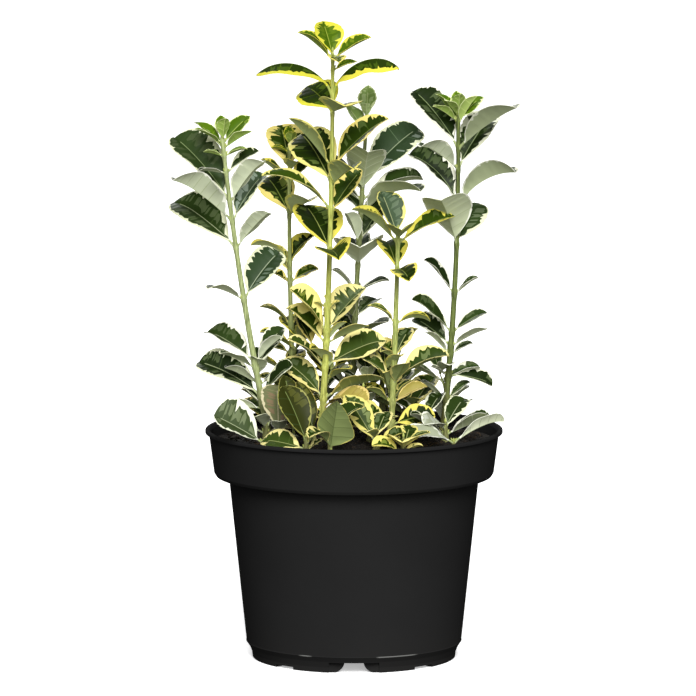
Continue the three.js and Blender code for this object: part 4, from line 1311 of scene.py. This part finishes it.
def leafGrid(stalkCount, half, edges, patches, teeth):
    # per row how far across its points lie, from -1 to 1, and how far its teeth stand out
    cells = leafPlan["cells"]
    columns = np.zeros((stalkCount + len(half), leafColumns))
    tooth = np.zeros(columns.shape)
    for margin, patch, bite, sign in zip(edges, patches, teeth, (1, -1)):
        rib = np.minimum(leafPlan["ribHalf"] / half, 0.3 * margin)
        start = rib + (margin - rib) * np.where(patch > 1, 0.55, patch)
        places = (rib, (rib + start) / 2, start, (start + margin) / 2, margin, (margin + 1) / 2, 1)
        for k, place in enumerate(places, 1):
            columns[stalkCount:, cells + sign * k] = sign * place
            columns[:stalkCount, cells + sign * k] = sign * math.sin(math.pi / 2 * k / cells)
        tooth[stalkCount:, cells + sign * cells] = bite
        tooth[stalkCount:, cells + sign * (cells - 1)] = bite * 0.4
    return columns, tooth


def leafMesh(leaf, mood, rng):
    # one leaf as points in millimetres, quads and the zone of each quad
    plan, stalk = leafPlan, growthPlan["stalkShare"]
    stalkRows, shares, station, half, edges, patches, teeth = leafRows(leaf, mood, rng)
    stalkCount = len(stalkRows)
    columns, tooth = leafGrid(stalkCount, half, edges, patches, teeth)
    rowShare = np.concatenate([stalkRows, shares])[:, None]
    stalkHalf = plan["stalkHalf"] + plan["stalkHalfShare"] * leaf["length"]
    across, flow = np.abs(columns), np.clip(rowShare, 0, 1)
    share = rowShare + plan["sweep"] * across * flow * (1 - flow)
    shape, blend = np.clip(share, 0, 1), smoothStep(share / plan["bladeFrom"])
    widest = leaf["width"] / 2 * halfShare(leaf["shape"], share)
    least = np.where(share > 0.9, 0.12, stalkHalf * (1 - 0.6 * shape))
    reach = np.maximum(widest, least) * across + tooth
    along = stalk + (1 - stalk) * share
    steps, angles, line = ribLine(leaf)
    place = np.stack([np.interp(along, steps, line[:, i]) for i in range(3)], axis=-1)
    angle = np.interp(along, steps, angles)[..., None]
    roll = np.radians(leaf["roll"] + plan["twist"] * rng.uniform(-1, 1) * shape)[..., None]
    outwards, sideways, up = leafAxes(leaf)
    level = up * np.cos(angle) - outwards * np.sin(angle)
    normal = level * np.cos(roll) - sideways * np.sin(roll)
    side = sideways * np.cos(roll) + level * np.sin(roll)
    # the fold along the midrib, the quilting between the veins, the waves of the edges and the drooping tip
    fold, scale = math.radians(leaf["fold"]), leaf["length"] / plan["usualLength"]
    lift = widest * math.sin(fold) * (1.3 * across - 0.3 * across ** 2) * blend
    bulge = np.concatenate([np.zeros(stalkCount), np.array(plan["bulge"])[station]])[:, None]
    lift = lift + plan["quilting"] * bulge * 4 * across * (1 - across) * blend
    for sign in (1, -1):
        high = rng.uniform(*plan["wave"]) * scale
        waves = high * np.sin(2 * math.pi * (rng.uniform(*plan["waves"]) * shape + rng.random()))
        lift = lift + np.where(columns * sign > 0, waves * across ** 2, 0) * blend
    drooping = np.clip(shape - plan["droopFrom"], 0, 1) ** 2 / 0.12
    lift = lift - rng.uniform(0, plan["droop"]) * scale * drooping
    sway = plan["sickle"] * leaf["length"] * rng.uniform(-1, 1) * shape ** 2
    aside = np.sign(columns) * reach * math.cos(fold * 0.9) + sway
    middle = place + side * aside[..., None] + normal * lift[..., None]
    stalkThick = 1.7 * stalkHalf * np.sqrt(np.maximum(0, 1 - across ** 2)) + 0.12
    bladeThick = between(plan["thickness"], 1 - across ** 2) * (1 - 0.35 * shape)
    thick = stalkThick * (1 - blend) + bladeThick * blend
    near = np.exp(-(reach / 0.7) ** 2)
    above = thick / 2 - plan["groove"] * near * blend * (1 - shape)
    below = thick / 2 + plan["ridge"] * near * blend * (1 - shape) ** 0.7
    points = np.concatenate([(middle + normal * above[..., None]).reshape(-1, 3),
                             (middle - normal * below[..., None]).reshape(-1, 3)])
    return (points,) + leafFaces(len(columns), stalkCount, patches, station, rng)


def quads(grid):
    return np.stack([grid[:-1, :-1], grid[1:, :-1], grid[1:, 1:], grid[:-1, 1:]], axis=-1).reshape(-1, 4)


def leafFaces(count, stalkCount, patches, station, rng):
    # the quads of the upper and lower grids, joined round the rim, with their zones
    name, cells = {zone: k for k, zone in enumerate(zoneNames)}, leafPlan["zoneCells"]
    upper = np.arange(count * leafColumns).reshape(count, leafColumns)
    lower = upper + upper.size

    def strip(line):
        a, b = upper[line], lower[line]
        return np.stack([a[:-1], b[:-1], b[1:], a[1:]], axis=-1)

    faces = [quads(upper), quads(lower)[:, otherWay]]
    faces += [strip(np.s_[:, 0]), strip(np.s_[:, -1])[:, otherWay], strip(-1), strip(0)[:, otherWay]]
    top = np.full((count - 1, leafColumns - 1), name["dark"])
    bottom = np.full(top.shape, name["under"])
    veins = np.where(station[:-1] == 0)[0] + stalkCount
    for first, last in cells["veins"]:
        top[veins[rng.random(len(veins)) < leafPlan["veined"]], first:last] = name["vein"]
        bottom[veins, first:last] = name["underVein"]
    top[:, cells["margin"]] = name["margin"]
    bottom[:, cells["underMargin"]] = name["underMargin"]
    top[:-8, cells["rib"]] = name["rib"]
    bottom[:, cells["rib"]] = name["underVein"]
    # the paler patches: partly the leaf's grey-green mottling, partly painted sheen
    for patch, across in zip(patches, cells["patches"]):
        rows = np.where((patch[:-1] <= 1) & (station[:-1] > 0))[0] + stalkCount
        top[np.ix_(rows, across)] = name["patch"]
    rim = np.full(count - 1, name["margin"])
    for part in (top, bottom, rim):
        part[:stalkCount] = name["stalk"]
    ends = np.repeat([name["margin"], name["stalk"]], leafColumns - 1)
    return np.concatenate(faces), np.concatenate([top.ravel(), bottom.ravel(), rim, rim, ends])


leafTones = {}


def leafTone(mood, zone, pick):
    # one plain material for a tone of a mood's zone
    tones = leafMoods[mood][zone]
    code = tones[int(pick * len(tones))]
    if code + zone not in leafTones:
        leafTones[code + zone] = dress(*newFinish(f"leaf{zone[0].upper()}{zone[1:]}_{code}"), {
            "Base Color": tone(code, leafPlan["shades"][zone]),
            "Roughness": leafPlan["roughness"][zone.startswith("under")],
            "Specular IOR Level": leafPlan["specular"],
        })
    return leafTones[code + zone]


def leafPiece(name, leaves, replaced=()):
    # joins many leaves into one piece
    points, faces, zones, materials, start = [], [], [], [], 0
    for leaf in leaves:
        rng = np.random.default_rng(leaf["seed"] + 101)
        corners, sides, parts = leafMesh(leaf, leafMoods[leaf["mood"]], rng)
        picked = [leafTone(leaf["mood"], zone, rng.random()) for zone in zoneNames]
        for material in picked:
            if material not in materials:
                materials.append(material)
        points.append(corners)
        faces.append(sides + start)
        zones.append(np.array([materials.index(material) for material in picked])[parts])
        start += len(corners)
    mesh = newMesh(name, np.vstack(points), np.vstack(faces).tolist())
    for material in materials:
        mesh.materials.append(material)
    mesh.polygons.foreach_set("material_index", np.concatenate(zones).astype(np.int32))
    shadeSmooth(mesh, leafPlan["sharpFrom"])
    mesh.update()
    onRoot(newObject(name, mesh), replaced)


def makeLeaves(packed, fine):
    slots = {"silver": "white_edged_leaves", "gold": "yellow_edged_leaves"}
    for name, shoot in shoots.items():
        replaced = [f"{name}_leaves_{place}" for place in shoot["masses"]]
        leafPiece(f"{name}Leaves", packed["shoots", name], replaced)
    for kind, slot in slots.items():
        names = [name for name, tuft in tufts.items() if tuft["kind"] == kind]
        leaves = [leaf for name in names for leaf in packed["tufts", name]]
        leafPiece(f"{kind}TuftLeaves", leaves, [f"tuft_{name}" for name in names])
        leafPiece(f"{kind}FineLeaves", fine[kind])


packedLeaves = growPacked()
fineLeaves, fineStems = growFine(packedLeaves)
makeLeaves(packedLeaves, fineLeaves)
print("leaves ready:", sum(len(leaves) for leaves in packedLeaves.values()), "packed,",
      sum(len(leaves) for leaves in fineLeaves.values()), "fine")


# The stems: a line of points through each shoot, swollen at the nodes, made round and ridged by a tree
stemPlan = {
    "step": 1.3, "rooted": 2.5, "swelling": 0.26, "swellingReach": 2.0, "tipTaper": 5, "thinTip": 0.35,
    "sides": 16, "ridge": 0.09, "relief": 0.16, "reliefScale": 420.0,
    "streak": (1500, 4, 0.65), "patch": (260, 3), "browns": ("4c4128", "7c7048"),
    "brownUpTo": 152, "greenFrom": 200, "greens": (0.55, 0.74), "barkDepth": 0.3,
    "tuftBark": ("a0ac6a", "7e8a50"), "tuftSeed": 9,
}


def carry(mesh, name, values, kind="FLOAT"):
    # a value for each point of a mesh
    field = "value" if kind == "FLOAT" else "vector"
    mesh.attributes.new(name, kind, "POINT").data.foreach_set(field, np.array(values).ravel())


def stemTree():
    sheet, given = newTree("stem", {"Sides": "Int", "Ridge": "Float", "Relief": "Float", "Scale": "Float",
                                    "Seed": "Int", "Finish": "Material"})
    line = sheet.node("GeometryNodeMeshToCurve", {"Mesh": given["Geometry"]})
    ring = sheet.node("GeometryNodeCurvePrimitiveCircle", {"Resolution": given["Sides"], "Radius": 1.0})
    capture = sheet.node("GeometryNodeCaptureAttribute").socket.node
    capture.capture_items.new("FLOAT", "round")
    sheet.join(ring, capture.inputs[0])
    sheet.join(sheet.node("GeometryNodeSplineParameter", out="Factor"), capture.inputs[1])
    ring, turned = Wire(sheet, capture.outputs[0]), Wire(sheet, capture.outputs[1])
    tube = sheet.node("GeometryNodeCurveToMesh", {0: line, 1: ring, 2: sheet.attribute("thick"), 3: True})
    wave = turned.math("COSINE", turned * (8 * math.pi))
    rough = sheet.node("ShaderNodeTexNoise", {
        "Vector": sheet.node("GeometryNodeInputPosition"), "Scale": given["Scale"], "Detail": 3.0,
        "W": given["Seed"] * 3.7}, noise_dimensions="4D")
    push = wave * given["Ridge"] + (rough - 0.5) * given["Relief"]
    offset = sheet.vector("SCALE", sheet.node("GeometryNodeInputNormal"), push)
    shaped = sheet.node("GeometryNodeSetPosition", {"Geometry": tube, "Offset": offset})
    return endTree(sheet, sheet.node("GeometryNodeSetShadeSmooth", {"Geometry": shaped}), given["Finish"])


def stemFinish(plan, name, light, dark):
    # green bark with fine lengthwise streaks, browner and duller where it leaves the compost
    material, sheet = newFinish(name)
    streak = sheet.noise(sheet.objectPlace((1, 1, 0.06)), *plan["streak"])
    patch = sheet.noise(sheet.objectPlace((1, 1, 0.3)), *plan["patch"])
    height = sheet.part(sheet.objectPlace(), "Z")
    old = sheet.fade(height + patch * 0.03, plan["brownUpTo"] * mm, plan["greenFrom"] * mm, 0.6, 0.0)
    green = [tone(code, share) for code, share in zip((dark, light), plan["greens"])]
    green = sheet.blend(sheet.mask(streak, 0.38, 0.6), *green)
    brown = sheet.blend(streak, tone(plan["browns"][0]), tone(plan["browns"][1]))
    return dress(material, sheet, {
        "Base Color": sheet.blend(old, green, brown),
        "Roughness": 0.5 + 0.25 * patch,
        "Specular IOR Level": 0.12,
        "Normal": sheet.bump(streak * 0.6 + patch * 0.4, plan["barkDepth"] * mm),
    })


def stemLine(plants):
    # the middle lines of stems as bare edges, with how thick they are at each point
    plan, points, links, thick = stemPlan, [], [], []
    for shoot in plants:
        nodes = [row[0] for rows in shoot["masses"].values() for row in rows]
        low, high = shoot["level"] - (0 if shoot["radius"][0] < 1 else plan["rooted"]), shoot["top"]
        steps = max(4, round((high - low) / plan["step"]))
        for k in range(steps + 1):
            z = low + (high - low) * k / steps
            swell = min(1.0, sum(math.exp(-((z - node) / plan["swellingReach"]) ** 2) for node in nodes))
            near = min(1.0, max(0.0, (high - z) / plan["tipTaper"])) ** 0.7
            taper = plan["thinTip"] + (1 - plan["thinTip"]) * near
            if k:
                links.append((len(points) - 1, len(points)))
            points.append(stemAt(shoot, z))
            thick.append(stemRadius(shoot, z) * (1 + plan["swelling"] * swell) * taper * mm)
    mesh = newMesh("stemLine", points, [], links)
    carry(mesh, "thick", thick)
    return newObject("stemLine", mesh)


def makeStems(plan, small):
    tree = stemTree()
    common = {"Sides": plan["sides"], "Ridge": plan["ridge"] * mm, "Relief": plan["relief"] * mm,
              "Scale": plan["reliefScale"]}
    for seed, (name, shoot) in enumerate(shoots.items()):
        finish = stemFinish(plan, f"{name}Bark", *shootLooks[name]["bark"])
        stem = grow(stemLine([shoot]), tree, {**common, "Seed": seed, "Finish": finish}, f"{name}Stem")
        onRoot(stem, [node for node in frame["nodes"] if node.startswith(f"{name}_stem_")])
    finish = stemFinish(plan, "tuftBark", *plan["tuftBark"])
    short = stemLine(list(tufts.values()) + small)
    onRoot(grow(short, tree, {**common, "Seed": plan["tuftSeed"], "Finish": finish}, "shortStems"))


makeStems(stemPlan, fineStems)
print("stems ready")


# The buds: one small pointed bud above each leaf stalk, and one at the end of each stem
budPlan = {
    "size": (1.0, 1.5), "tipSize": 1.6, "slim": 0.5, "lean": 28, "above": 1.5, "belowTip": 0.8,
    "tones": ("7a8c34", "b0b468"), "cloud": (900, 2),
}


def budTree():
    sheet, given = newTree("buds", {"Slim": "Float", "Finish": "Material"})
    ball = sheet.node("GeometryNodeMeshUVSphere", {"Segments": 8, "Rings": 6, "Radius": 1.0})
    place = sheet.node("GeometryNodeInputPosition")
    wide = given["Slim"] * (1.0 - 0.5 * sheet.part(place, "Z"))
    narrowed = sheet.vector("MULTIPLY", place, sheet.node("ShaderNodeCombineXYZ", {0: wide, 1: wide, 2: 1.0}))
    raised = sheet.vector("ADD", narrowed, (0.0, 0.0, 0.8))
    bud = sheet.node("GeometryNodeSetPosition", {"Geometry": ball, "Position": raised})
    spread = sheet.node("GeometryNodeInstanceOnPoints", {
        "Points": given["Geometry"], "Instance": bud, "Rotation": sheet.attribute("turn", "FLOAT_VECTOR"),
        "Scale": sheet.attribute("size")})
    return endTree(sheet, sheet.node("GeometryNodeSetShadeSmooth", {"Geometry": spread}), given["Finish"])


def makeBuds(plan, leafGroups, small):
    points, sizes, turns = [], [], []
    rng = np.random.default_rng(5)
    for leaf in [leaf for leaves in leafGroups.values() for leaf in leaves]:
        outwards, _, up = leafAxes(leaf)
        points.append(leaf["middle"] + outwards * leaf["stemRadius"] * 0.8 + up * plan["above"])
        sizes.append(rng.uniform(*plan["size"]) * mm)
        turns.append((0.0, math.radians(plan["lean"]), math.radians(leaf["turn"])))
    for shoot in list(shoots.values()) + list(tufts.values()) + small:
        points.append(stemAt(shoot, shoot["top"] - plan["belowTip"]))
        sizes.append(plan["tipSize"] * mm)
        turns.append((0.0, 0.0, 0.0))
    mesh = newMesh("budSpots", points, [])
    carry(mesh, "size", sizes)
    carry(mesh, "turn", turns, "FLOAT_VECTOR")
    material, sheet = newFinish("budSkin")
    cloud = sheet.noise(sheet.objectPlace(), *plan["cloud"])
    dress(material, sheet, {
        "Base Color": sheet.blend(cloud, tone(plan["tones"][0]), tone(plan["tones"][1])),
        "Roughness": 0.45 + 0.2 * cloud,
        "Specular IOR Level": 0.3,
    })
    buds = grow(newObject("budSpots", mesh), budTree(), {"Slim": plan["slim"], "Finish": material}, "buds")
    onRoot(buds)


makeBuds(budPlan, {**packedLeaves, **fineLeaves}, fineStems)
print("buds ready")
